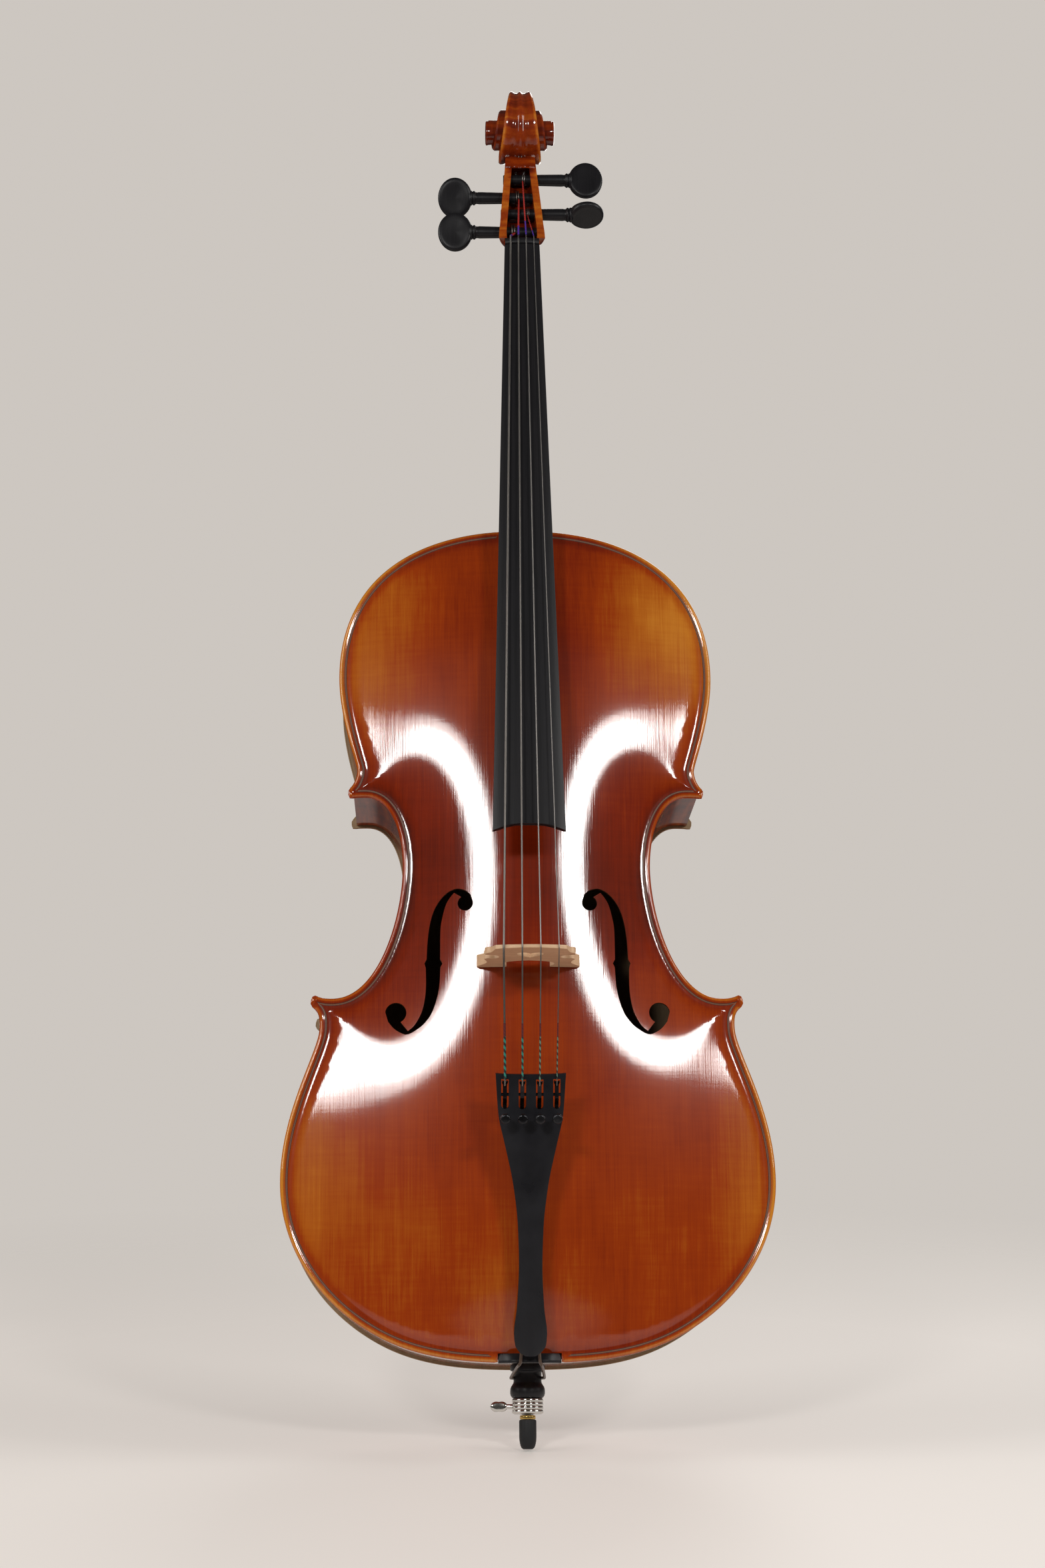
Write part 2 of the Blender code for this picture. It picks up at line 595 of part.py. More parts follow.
def make_neck(mortise_depth=6.0):
    heel_z = BODY_BASE + 752.5

    def glue_face(z):
        return board_edge(z) + BOARD_EDGE + GAP

    tongue = [
        neck_ring(heel_z - mortise_depth, -49.5, 49.5, 12.6, 12.6, 8),
        neck_ring(heel_z, -49.5, 49.5, 12.6, 12.6, 8),
    ]
    heel = [
        (752.5, 58.6, 13.5), (759, 56.5, 13.6), (767, 47, 14.5), (774, 29, 16), (781, 4, 18), (789, -19, 20),
        (799, -38, 21.5), (812, -51, 22.2), (828, -57.5, 22),
    ]
    shaft = [(880, -52.0), (960, -42.0), (1030, -32.0), (1044, -29.8)]
    rings = list(tongue)
    for above, back, half_back in heel:
        z = above + BODY_BASE
        squareness = float(np.interp(above, (752.5, 767, 800), (7, 4, 2.1)))
        half_front = min(board_half(z) - 0.8, 22.4)
        rings.append(neck_ring(z, glue_face(z), back, half_front, half_back, squareness))
    for above, back in shaft:
        z = above + BODY_BASE
        rings.append(neck_ring(z, glue_face(z), back, board_half(z) - 0.3, board_half(z) - 0.3, 2.1))
    step_z = 1044 + BODY_BASE + 6.6
    rings.append(neck_ring(step_z - 0.6, glue_face(step_z), -24.0, 17.2, 17.2, 2.4))
    pegbox = [
        (1051, -53.5, -20.0, 21.9, 17.0, 2.6), (1058, -50.6, -14.0, 21.6, 18.0, 3.4),
        (1068, -46.9, -10.6, 20.7, 18.0, 4), (1088, -39.5, -5.6, 19.2, 17.0, 4),
        (1115, -29.5, 1.5, 17.1, 15.5, 4), (1138, -21.0, 9.8, 15.2, 14.2, 4),
        (1152, -14.0, 21.0, 14.4, 13.8, 4), (1167, -8.0, 32.0, 13.4, 13.4, 5),
        (1184, 0.0, 36.9, 12.4, 12.4, 6),
    ]
    rings += [neck_ring(above + BODY_BASE, *numbers) for above, *numbers in pegbox]
    neck = add_mesh("neck_and_scroll", loft(rings), MAPLE)
    join(neck, helper("scroll_first_turn", scroll_turn(0, 345, 15, 14.0)))
    join(neck, helper("scroll_second_turn", scroll_turn(360, 700, 20, 20.0)))
    eye = Matrix.Translation((0, SCROLL_Y, SCROLL_Z)) @ Matrix.Rotation(math.radians(90), 4, "Y")
    join(neck, helper("scroll_eye", rod(11.8, -EYE_HALF, EYE_HALF, 18), eye))

    cavity = [
        (1050.6, -32.0, 14.2), (1056, -26.0, 14.6), (1068, -20.0, 14.0), (1088, -15.0, 12.4),
        (1115, -7.6, 10.4), (1139, -2.6, 8.4),
    ]
    hollow = []
    for above, floor, half in cavity:
        corners = ((-half, -FAR / 4), (half, -FAR / 4), (half - 1.5, floor), (1.5 - half, floor))
        hollow.append([(x, y, above + BODY_BASE) for x, y in corners])
    cut(neck, helper("pegbox_cutter", loft(hollow)))
    for name, (side, y, z, _, _) in PEGS.items():
        bore = [(0, 40), (peg_radius(40) + GAP, 40), (peg_radius(-40) + GAP, -40), (0, -40)]
        place = Matrix.Translation((0, y, z)) @ Matrix.Rotation(math.radians(90 * side), 4, "Y")
        cut(neck, helper(f"peg_bore_cutter_{name}", turned(bore, 16), place))


def make_fingerboard():
    heights = [BOARD_NUT_Z - GAP, 960, 829, 827.5, 680, BOARD_END_Z + 8, BOARD_END_Z]
    rings = []
    for z in heights:
        half, edge = board_half(z), board_edge(z)
        across = np.linspace(-half, half, 9)
        hollow = z < 828
        last = z == BOARD_END_Z
        top = [(x, edge - camber(x, half)) for x in across]
        depth = 6.5 if hollow else 0.0
        under = [(half, 0), (half * 0.78, 0), (half * 0.4, depth), (0, depth * 1.25)]
        under += [(-x, lift) for x, lift in under[2::-1]]
        ring = top + [(x, edge + BOARD_EDGE - lift) for x, lift in under]
        rings.append([(x, y, z + (5.0 * (1 - (x / half) ** 2) if last else 0)) for x, y in ring])
    add_mesh("fingerboard", loft(rings), BLACK_WOOD)


def nut_top(x):
    return BOARD_NUT_Y - camber(x, BOARD_NUT_HALF + 0.1) - 1.2


def make_nut():
    rings = []
    for z in (BOARD_NUT_Z, BOARD_NUT_Z + 6.0):
        half = BOARD_NUT_HALF - 0.3
        across = np.linspace(-half, half, 9)
        base = board_edge(z) + BOARD_EDGE
        ring = [(x, nut_top(x), z) for x in across] + [(half, base, z), (-half, base, z)]
        rings.append(ring)
    add_mesh("nut", loft(rings), BLACK_WOOD)


def make_saddle():
    low, high = BODY_BASE - 0.3, BODY_BASE + 8.0
    outline = [(-27.3, low), (27.3, low), (27.3, high), (-27.3, high)]
    base, crest = -(GLUE_Y - GAP) - 0.3, -74.6
    bottom = [(x, base, z) for x, z in outline]
    middle = [(x, -65.0, z) for x, z in outline]
    top = [(x * 0.8, crest if z == low else crest + 3.2, z) for x, z in outline]
    add_mesh("saddle", loft([bottom, middle, top]), BLACK_WOOD)


# ---------------------------------------------------------------- the bridge
def bridge_top(x):
    return BRIDGE_CROWN_Y + x * x / (2 * BRIDGE_CROWN_RADIUS)


def make_bridge():
    around = [(dx, dz) for dx in (-3, 0, 3) for dz in (-1, 5, 12)]
    feet = [[(x + dx, BRIDGE_FACE_Z + dz) for dx, dz in around] for x in (19.0, 32.0, 45.5)]
    foot_in, foot_mid, foot_out = (-depth_at(TOP_SURFACE, spots, -1, outside=True) - GAP for spots in feet)
    crown = [(x, bridge_top(x)) for x in (0, 8, 16, 24, 30.5)]
    half = crown + [
        (31.5, bridge_top(30.5) + 4), (37.5, -151.5), (39.2, -146.0), (37.0, -142.5), (31.5, -141.5),
        (27.5, -137.5), (27.0, -131.0), (30.5, -127.0), (36.0, -127.5), (39.5, -124.0), (38.0, -117.0),
        (37.0, -107.0), (40.5, -98.0),
        (45.5, foot_out - 5.5), (45.5, foot_out), (32.0, foot_mid), (19.0, foot_in), (19.5, foot_in - 6.0),
        (22.5, -99.0), (20.5, -108.0), (12.0, -114.5), (0.0, -117.5),
    ]
    outline = half + [(-x, y) for x, y in half[-2:0:-1]]
    heart = [(0, -131), (6.5, -138), (11.5, -146), (10.5, -152.5), (5.0, -153.5), (0, -149.5)]
    heart += [(-x, y) for x, y in heart[-2:0:-1]]
    bm = bmesh.new()
    rows = []
    for front in (0, 1):
        row = []
        for x, y in outline:
            share = min(1.0, max(0.0, (foot_out - y) / (foot_out - BRIDGE_CROWN_Y)))
            depth = BRIDGE_FOOT_DEPTH + share * (BRIDGE_TOP_DEPTH - BRIDGE_FOOT_DEPTH)
            row.append(bm.verts.new((x, y, BRIDGE_FACE_Z + front * depth)))
        rows.append(row)
    bm.faces.new(rows[0])
    bm.faces.new(rows[1][::-1])
    for k in range(len(outline)):
        follow = (k + 1) % len(outline)
        bm.faces.new((rows[0][k], rows[0][follow], rows[1][follow], rows[1][k]))
    bmesh.ops.triangulate(bm, faces=bm.faces)
    bridge = add_mesh("bridge", bm, BRIDGE_WOOD, smooth_below=20)
    flat = Matrix.Rotation(math.radians(90), 4, "X")
    hole = prism([(x, -y) for x, y in heart], -BRIDGE_FACE_Z - 30, 30 - BRIDGE_FACE_Z)
    cut(bridge, helper("heart_cutter", hole, flat.inverted()))


# ---------------------------------------------------------------- pegs and strings
def peg_radius(out):
    """The tapered shaft's radius at a distance from the middle of the pegbox, towards the head."""
    return 4.75 + 0.018 * (out + 20)


def make_pegs():
    head_at, head_size = 63.5, (16.5, 19.5, 5.6)
    for name, (side, y, z, turn, _) in PEGS.items():
        far_end = float(np.interp(z, (1120, 1210), (-21.6, -15.6))) - 0.4
        profile = [
            (0, 50), (6.4, 50), (7.2, 48.6), (7.2, 47.2), (6.2, 46.4), (7.0, 45.4), (7.0, 44.2), (5.9, 43.2),
            (peg_radius(40), 40), (peg_radius(far_end), far_end), (0, far_end),
        ]
        place = Matrix.Translation((0, y, z)) @ Matrix.Rotation(math.radians(90 * side), 4, "Y")
        peg = add_mesh(f"peg_{name}", turned(profile, 14), BLACK_WOOD, place)
        head = bmesh.new()
        bmesh.ops.create_uvsphere(head, u_segments=14, v_segments=8, radius=1.0)
        spun = Matrix.Rotation(math.radians(turn), 4, "X")
        at = Matrix.Translation((side * head_at, y, z)) @ spun
        size = Matrix.Diagonal((head_size[0], head_size[2], head_size[1], 1.0))
        join(peg, helper(f"peg_head_{name}", head, at @ size))
        put_origin_at(peg, (0, y, z))
        bpy.data.objects[f"peg_head_{name}"].parent = peg
        bpy.data.objects[f"peg_head_{name}"].matrix_parent_inverse = Matrix.Translation([0, -y * MM, -z * MM])


TAIL_PLACE = Matrix.Translation((0, TAIL_TOP_Y, TAIL_TOP_Z)) @ Matrix.Rotation(TAIL_LEAN, 4, "X")


def tail_surface(x):
    """y of the tailpiece's outer surface near its top, in its own frame."""
    return TAIL_CAMBER - math.sqrt(TAIL_CAMBER**2 - x * x)


def make_strings():
    for name, (radius, at_nut, at_bridge, at_tail) in STRINGS.items():
        side, peg_y, peg_z, _, wind_from = PEGS[name]
        surface = tail_surface(at_tail)
        tail_end = TAIL_PLACE @ Matrix.Translation((at_tail, surface + 0.8, -10.0))
        tail_edge = TAIL_PLACE @ Matrix.Translation((at_tail, surface - radius - GAP, -5.0))
        over = bridge_top(at_bridge) - radius - GAP
        nut = nut_top(at_nut) - radius - GAP
        points = [
            tail_end.translation, tail_edge.translation,
            (at_bridge, over, BRIDGE_FACE_Z + 0.5), (at_bridge, over, BRIDGE_FACE_Z + BRIDGE_TOP_DEPTH - 0.5),
            (at_nut, nut, BOARD_NUT_Z - 0.3), (at_nut, nut, BOARD_NUT_Z + 6.6),
        ]
        steps, turns = 10, 1.4
        reach = (peg_radius(0) + radius + GAP) / math.cos(math.pi / steps) + 0.15
        pitch = 2 * radius + 0.5
        for k in range(int(steps * turns) + 1):
            angle = math.radians(150) + 2 * math.pi * k / steps
            x = wind_from + side * pitch * k / steps
            points.append((x, peg_y + reach * math.cos(angle), peg_z - reach * math.sin(angle)))
        cord(f"string_{name}", [tuple(point) for point in points], radius, STEEL)


# ---------------------------------------------------------------- tailpiece, tuners and tailgut
def tail_ring(z, half, thickness, flange):
    """A cross-section of the tailpiece in its own frame: arched above and hollow below."""
    bend = max(half * 1.25, TAIL_CAMBER * min(1.0, half / 27))
    across = np.linspace(-half, half, 9)
    outer = [(x, bend - math.sqrt(bend * bend - x * x), z) for x in across]
    inside = half - 2.5 if half > 8 else half * 0.6
    edge = outer[0][1] + flange
    hollow = np.linspace(inside, -inside, 7)
    inner = [(x, bend - math.sqrt(bend * bend - x * x) + thickness, z) for x in hollow]
    right, left = [(half, edge, z), (inside, edge + 0.01, z)], [(-inside, edge + 0.01, z), (-half, edge, z)]
    return outer + right + inner + left


def make_tailpiece():
    stations = [
        (0.0, 30.2, 5, 6.2), (-36, 27.6, 5, 6.2), (-60, 22.4, 5, 5.8), (-95, 15.0, 5, 5.4),
        (-130, 11.0, 6, 6.4), (-163, 10.0, 6.5, 7), (-200, 11.6, 6.5, 7), (-222, 14.2, 6.5, 7),
        (-232, 13.2, 6, 6.5), (-238, 9.2, 4.8, 5), (-241, 4.5, 3.6, 4),
    ]
    rings = [tail_ring(*station) for station in stations]
    tailpiece = add_mesh("tailpiece", loft(rings), PLASTIC, TAIL_PLACE)
    for name, (_, _, _, x) in STRINGS.items():
        slot = block((x - 3.2, -20, -30), (x + 3.2, 20, -4.5))
        cut(tailpiece, helper(f"tuner_slot_cutter_{name}", slot, TAIL_PLACE))
        hole = Matrix.Translation((x, 0, TUNER_SCREW_Z)) @ Matrix.Rotation(math.radians(90), 4, "X")
        cut(tailpiece, helper(f"tuner_hole_cutter_{name}", rod(1.5 + GAP, -20, 20, 12), TAIL_PLACE @ hole))
    across = Matrix.Translation((0, TUNER_AXLE_Y, TUNER_AXLE_Z)) @ Matrix.Rotation(math.radians(90), 4, "Y")
    cut(tailpiece, helper("tuner_axle_cutter", rod(AXLE_RADIUS + GAP, -50, 50, 12), TAIL_PLACE @ across))
    add_mesh("tuner_axle", rod(AXLE_RADIUS, -28.6, 28.6, 12), BLACK_METAL, TAIL_PLACE @ across)


def make_tuners():
    for name, (_, _, _, x) in STRINGS.items():
        top = tail_surface(x) + 2.9
        outline = [
            (top, -6.5), (top, -12), (5.6, -16.5), (6.0, -21), (10.9, -27), (10.9, -40), (13, -40), (13, -26),
            (12.0, -16), (10.2, -12.5), (top + 2.6, -6.5),
        ]
        rings = [[(x + dx, y, z) for y, z in outline] for dx in (-1.7, 1.7)]
        lever = add_mesh(f"tuner_lever_{name}", loft(rings), BLACK_METAL, TAIL_PLACE)
        bore = Matrix.Translation((x, TUNER_AXLE_Y, TUNER_AXLE_Z)) @ Matrix.Rotation(math.radians(90), 4, "Y")
        axle_bore = rod(AXLE_RADIUS + GAP, -10, 10, 12)
        cut(lever, helper(f"lever_bore_cutter_{name}", axle_bore, TAIL_PLACE @ bore))
        profile = [
            (0, 17.4), (3.4, 17.4), (4.4, 16.6), (4.4, 11.4), (3.4, 10.4), (1.9, 10.0), (1.5, 8.0),
            (1.5, -9.3), (0, -9.3),
        ]
        lift = tail_surface(x) * 0.35
        knob = [(radius, height - (lift if height > 0 else 0)) for radius, height in profile]
        upright = Matrix.Translation((x, 0, TUNER_SCREW_Z)) @ Matrix.Rotation(math.radians(90), 4, "X")
        screw = add_mesh(f"tuner_screw_{name}", turned(knob, 12), BLACK_METAL, TAIL_PLACE @ upright)
        put_origin_at(screw, (TAIL_PLACE @ upright).translation)


def make_tailgut():
    """Both legs in one cord: from under the tailpiece, over the saddle and round the neck of the plug."""
    radius, neck_z = 1.4, BODY_BASE - 9.5
    start = TAIL_PLACE @ Matrix.Translation((6.6, 9.6, -215.0))
    under = TAIL_PLACE @ Matrix.Translation((7.2, 10.0, -231.0))
    leg = [
        tuple(start.translation), tuple(under.translation), (8.2, -77.4, BODY_BASE + 2.0),
        (9.0, -76.0, BODY_BASE - 1.2), (10.0, -72.0, BODY_BASE - 2.6),
        (12.6, -40.0, BODY_BASE - 6.0), (14.6, -8.0, neck_z),
    ]
    reach = 14.4
    arc = [math.radians(angle) for angle in range(0, 181, 20)]
    loop = [(reach * math.cos(a), reach * math.sin(a), neck_z) for a in arc]
    cord("tailgut", leg + loop + [(-x, y, z) for x, y, z in leg[::-1]], radius, GUT)


# ---------------------------------------------------------------- the endpin
def make_endpin():
    bore = ROD_RADIUS + GAP
    plug = [
        (bore, 43.9), (13.6, 43.9), (15.4, 46.5), (15.4, 51.5), (13.0, 55.6), (12.4, 57.0), (12.4, 66.0),
        (15.2, 67.6), (15.2, 73.0), (13.0, 73.2), (12.4, 106.0), (bore, 106.0),
    ]
    add_mesh("endpin_plug", turned(plug[::-1], 22), BLACK_WOOD)
    ferrule = [(bore, 43.6), (13.2, 43.6)]
    for ring in range(4):
        top = 43.0 - 3.2 * ring
        ferrule += [(13.9, top - 0.5), (13.9, top - 2.1), (13.0, top - 2.6)]
    ferrule += [(12.2, 30.0), (bore, 30.0)]
    chrome = add_mesh("endpin_ferrule", turned(ferrule, 20), CHROME)
    sideways = Matrix.Translation((0, 0, THUMB_SCREW_Z)) @ Matrix.Rotation(math.radians(-90), 4, "Y")
    cut(chrome, helper("thumb_screw_hole_cutter", rod(2.2 + GAP, 3, 30, 12), sideways))
    shank = turned([(0, 19.5), (1.6, 19.5), (2.2, 18.0), (2.2, 5.6), (0, 5.6)], 10)
    screw = add_mesh("endpin_thumb_screw", shank, CHROME, sideways)
    paddle = bmesh.new()
    bmesh.ops.create_uvsphere(paddle, u_segments=12, v_segments=8, radius=1.0)
    at = Matrix.Translation((-25.2, 0, THUMB_SCREW_Z)) @ Matrix.Diagonal((7.8, 2.2, 5.2, 1.0))
    join(screw, helper("thumb_screw_paddle", paddle, at))
    add_mesh("endpin_rod", rod(ROD_RADIUS, 12.0, ROD_TOP_Z, 16), STEEL)
    ring = [(bore, 29.1), (6.6, 29.1), (6.95, 28.6), (6.95, 25.8), (6.6, 25.5), (bore, 25.5)]
    add_mesh("endpin_ring", turned(ring[::-1], 20), BRASS)
    tip = [
        (0, 0), (4.4, 0), (6.0, 2.0), (7.1, 5.0), (7.6, 9.0), (7.6, 24.4), (7.0, 25.2), (bore, 25.2),
        (bore, 11.6), (0, 11.6),
    ]
    add_mesh("endpin_rubber_tip", turned(tip, 20), RUBBER)


def main():
    make_plates()
    plug_cutter, mortise_cutter = make_ribs()
    make_blocks(plug_cutter, mortise_cutter)
    make_linings()
    make_bass_bar()
    make_sound_post()
    make_neck()
    make_fingerboard()
    make_nut()
    make_saddle()
    make_bridge()
    make_pegs()
    make_strings()
    make_tailpiece()
    make_tuners()
    make_tailgut()
    make_endpin()


main()
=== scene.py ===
import math

import bmesh
import bpy
import numpy as np
from mathutils import Matrix, Vector
from mathutils.geometry import delaunay_2d_cdt


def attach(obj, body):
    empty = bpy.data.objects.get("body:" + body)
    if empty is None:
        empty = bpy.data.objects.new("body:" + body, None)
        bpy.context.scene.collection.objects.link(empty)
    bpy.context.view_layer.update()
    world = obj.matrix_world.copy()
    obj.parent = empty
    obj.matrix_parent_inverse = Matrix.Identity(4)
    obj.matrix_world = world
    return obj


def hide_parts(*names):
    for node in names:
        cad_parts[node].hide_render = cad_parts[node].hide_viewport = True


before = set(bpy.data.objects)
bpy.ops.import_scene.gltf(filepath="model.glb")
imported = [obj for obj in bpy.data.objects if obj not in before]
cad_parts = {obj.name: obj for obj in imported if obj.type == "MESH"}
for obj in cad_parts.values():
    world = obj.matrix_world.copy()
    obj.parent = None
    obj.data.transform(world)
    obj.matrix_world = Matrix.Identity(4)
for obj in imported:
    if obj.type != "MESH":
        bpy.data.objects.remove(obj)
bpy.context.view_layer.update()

MM = 0.001

BODY_BASE = 71.0
GLUE_Y = 59.25
EDGE_THICKNESS = 4.5
PLATE_THICKNESS = 4.3
ARCH_TOP = 23.5
ARCH_BACK = 22.6
OVERHANG = 2.8
RIB_THICKNESS = 1.8
GAP = 0.3
SADDLE_SEAT = (27.6, 8.3)  # half its width, and its height above the body's lower edge
NECK_SEAT = (22.6, 752.1)
BUTTON_RADIUS = 14.5
BUTTON_TOP = 771.5
SPINE_LOW, SPINE_HIGH = 150.0, 625.0

BOARD_NUT_Z = 1115.0
BOARD_END_Z = 523.8
BOARD_NUT_Y = -54.9
BOARD_SLOPE = 0.1456
BOARD_NUT_HALF = 16.5
BOARD_END_HALF = 32.0
BOARD_CAMBER = 62.0
BOARD_EDGE = 6.3

BRIDGE_FACE_Z = 413.0
BRIDGE_FOOT_DEPTH = 11.0
BRIDGE_TOP_DEPTH = 3.0
BRIDGE_CROWN_Y = -177.5
BRIDGE_CROWN_RADIUS = 68.0

SCROLL_Y = -3.5
SCROLL_Z = 1255.0
SCROLL_RADIUS = 41.0
EYE_HALF = 33.75

TAIL_TOP_Y = -145.5
TAIL_TOP_Z = 309.0
TAIL_LEAN = math.radians(14.15)
TAIL_CAMBER = 60.0
TUNER_SCREW_Z = -36.5
TAIL_PLACE = Matrix.Translation((0, TAIL_TOP_Y, TAIL_TOP_Z)) @ Matrix.Rotation(TAIL_LEAN, 4, "X")

# name: radius, then x at the nut, the bridge and the tailpiece
STRINGS = {
    "c": (0.95, -11.0, -23.65, -22.2),
    "g": (0.75, -3.7, -7.9, -7.4),
    "d": (0.60, 3.7, 7.9, 7.4),
    "a": (0.45, 11.0, 23.65, 22.2),
}
# name: side of the head, y, z, the head's turn in degrees, where its winding starts
PEGS = {
    "c": (-1, -31.5, 1137.5, 4.0, -6.5),
    "g": (-1, -19.5, 1178.6, 24.0, -2.0),
    "d": (1, -13.5, 1200.6, -6.0, 2.0),
    "a": (1, -25.5, 1159.0, 78.0, 6.0),
}

# The outline of half the body as Bezier curves: start, direction, handle, end, direction, handle, steps
LOWER_BOUT = [
    ((0, 0), 0, 45, (129.1, 21.9), 27.5, 43, 3),
    ((129.1, 21.9), 27.5, 60, (217, 157), 90, 57.5, 5),
    ((217, 157), 90, 62.7, (183.9, 292), 90, 20.3, 4),
    ((183.9, 292), 90, 7.4, (191.4, 311.3), 36, 10.4, 2),
]
LOWER_CORNER = [((191.4, 311.3), 62, 3.5, (189.4, 321.6), 128, 3.5, 1)]
CENTRE_BOUT = [
    ((189.4, 321.6), 205, 7.2, (173, 318.1), 180, 5.3, 2),
    ((173, 318.1), 180, 41.6, (111, 437), 90, 43.7, 5),
    ((111, 437), 90, 28.6, (144.5, 501.4), 0, 24.3, 4),
    ((144.5, 501.4), 0, 7.7, (158.4, 500.3), -18, 2.7, 2),
]
UPPER_CORNER = [((158.4, 500.3), 50, 3.0, (159.6, 509.6), 120, 3.0, 1)]
UPPER_BOUT = [
    ((159.6, 509.6), 146, 5, (152.2, 526), 90, 5, 2),
    ((152.2, 526), 90, 5, (169.3, 614), 90, 38, 3),
    ((169.3, 614), 90, 93.3, (0, 755), 180, 102.2, 7),
]

# One f-hole for x > 0: the eyes, then the long edges between them, each in two runs with a nick between
UPPER_EYE = (55.2, 400.8, 6.8)
LOWER_EYE = (116.6, 303.5, 9.4)
F_OUTER_UPPER = [
    (50.5, 408.5), (55.0, 412.4), (61.7, 414.4), (66.4, 413.5), (71.7, 410.7), (77.7, 404.7), (83.0, 395.6),
    (86.5, 383.6), (88.6, 368.0), (89.4, 351.5),
]
F_OUTER_LOWER = [(90.2, 343.5), (90.0, 326.7), (91.1, 314.7), (94.0, 302.9), (99.9, 292.2), (105.7, 286.9)]
F_INNER_LOWER = [
    (123.3, 295.8), (118.6, 289.9), (112.7, 285.7), (105.7, 283.9), (95.2, 289.8), (89.3, 295.7), (84.6, 302.9),
    (80.5, 314.7), (78.2, 326.6), (77.2, 343.5),
]
F_INNER_UPPER = [
    (77.5, 351.0), (77.2, 377.5), (75.3, 389.6), (72.9, 398.7), (70.0, 404.7), (65.2, 410.7),
]
F_OUTER_NICK = (91.4, 347.8)
F_INNER_NICK = (75.4, 347.0)


# ---------------------------------------------------------------- materials
class Look:
    """A procedural material: a principled shader and the nodes that feed it."""

    def __init__(self, name, roughness=0.4, metallic=0.0, coat=0.0, coat_roughness=0.05, specular=0.5):
        self.material = bpy.data.materials.new(name)
        self.material.use_nodes = True
        self.tree = self.material.node_tree
        self.shader = self.tree.nodes["Principled BSDF"]
        self.set("Roughness", roughness)
        self.set("Metallic", metallic)
        self.set("Coat Weight", coat)
        self.set("Coat Roughness", coat_roughness)
        self.set("Specular IOR Level", specular)

    def set(self, socket, value):
        if isinstance(value, bpy.types.NodeSocket):
            self.tree.links.new(value, self.shader.inputs[socket])
        else:
            self.shader.inputs[socket].default_value = value

    def node(self, kind, inputs, **settings):
        made = self.tree.nodes.new(kind)
        for key, value in settings.items():
            setattr(made, key, value)
        for key, value in inputs.items():
            if isinstance(value, bpy.types.NodeSocket):
                self.tree.links.new(value, made.inputs[key])
            else:
                made.inputs[key].default_value = value
        return made

    def place(self, scale=(1, 1, 1), turn=(0, 0, 0), source=None):
        where = source or self.node("ShaderNodeTexCoord", {}).outputs["Object"]
        return self.node("ShaderNodeMapping", {"Vector": where, "Scale": scale, "Rotation": turn}).outputs[0]

    def noise(self, scale, detail=3.0, roughness=0.55, distortion=0.0, source=None, turn=(0, 0, 0)):
        inputs = {"Vector": self.place(scale, turn, source), "Scale": 1.0, "Detail": detail}
        inputs.update({"Roughness": roughness, "Distortion": distortion})
        return self.node("ShaderNodeTexNoise", inputs).outputs["Fac"]

    def math(self, operation, one, two=0.0):
        return self.node("ShaderNodeMath", {0: one, 1: two}, operation=operation).outputs[0]

    def total(self, value, *terms):
        for term in terms:
            value = self.math("ADD", value, term)
        return value

    def spread(self, value, low, high, to_low=0.0, to_high=1.0):
        inputs = {"Value": value, "From Min": low, "From Max": high, "To Min": to_low, "To Max": to_high}
        return self.node("ShaderNodeMapRange", inputs, clamp=True).outputs[0]

    def attribute(self, name):
        return self.node("ShaderNodeAttribute", {}, attribute_name=name).outputs["Fac"]

    def ramp(self, value, stops):
        made = self.node("ShaderNodeValToRGB", {"Fac": value})
        ramp = made.color_ramp
        while len(ramp.elements) < len(stops):
            ramp.elements.new(0.5)
        for element, (at, colour) in zip(ramp.elements, stops):
            element.position = at
            element.color = (*colour, 1.0)
        return made.outputs["Color"]

    def bump(self, height, strength, distance):
        inputs = {"Height": height, "Strength": strength, "Distance": distance}
        return self.node("ShaderNodeBump", inputs).outputs[0]


def spruce_look():
    """Spruce under a shaded varnish: tone runs from rubbed gold, through orange, to a dark red-brown, plus
    painted shade by the fingerboard.
    """
    look = Look("spruce_varnish", roughness=0.30, coat=0.9, coat_roughness=0.06, specular=0.05)
    # the tone attribute: the varnish's colour, plus painted shade under and beside the fingerboard
    tone = look.attribute("tone")
    cloud = look.noise((11, 11, 7), detail=4.0)
    streak = look.noise((210, 60, 7), detail=4.0, roughness=0.7)
    fine = look.noise((1150, 200, 10), detail=2.0, roughness=0.6)
    ripple = look.noise((24, 60, 330), detail=2.0)
    value = look.total(
        tone, look.spread(cloud, 0.25, 0.75, -0.14, 0.14), look.spread(streak, 0.25, 0.75, -0.065, 0.065),
        look.spread(fine, 0.3, 0.7, -0.045, 0.045), look.spread(ripple, 0.3, 0.7, -0.02, 0.02),
    )
    stops = [
        (0.0, (0.58, 0.210, 0.020)), (0.22, (0.43, 0.105, 0.0065)), (0.45, (0.310, 0.037, 0.0016)),
        (0.70, (0.190, 0.015, 0.0016)), (1.0, (0.060, 0.006, 0.0020)),
    ]
    look.set("Base Color", look.ramp(value, stops))
    shares = ((streak, 0.7), (fine, 0.5), (ripple, 0.1))
    height = look.total(*(look.math("MULTIPLY", part, much) for part, much in shares))
    look.set("Normal", look.bump(height, 0.35, 0.00022))
    look.set("Coat Normal", look.bump(height, 0.30, 0.00018))
    return look.material


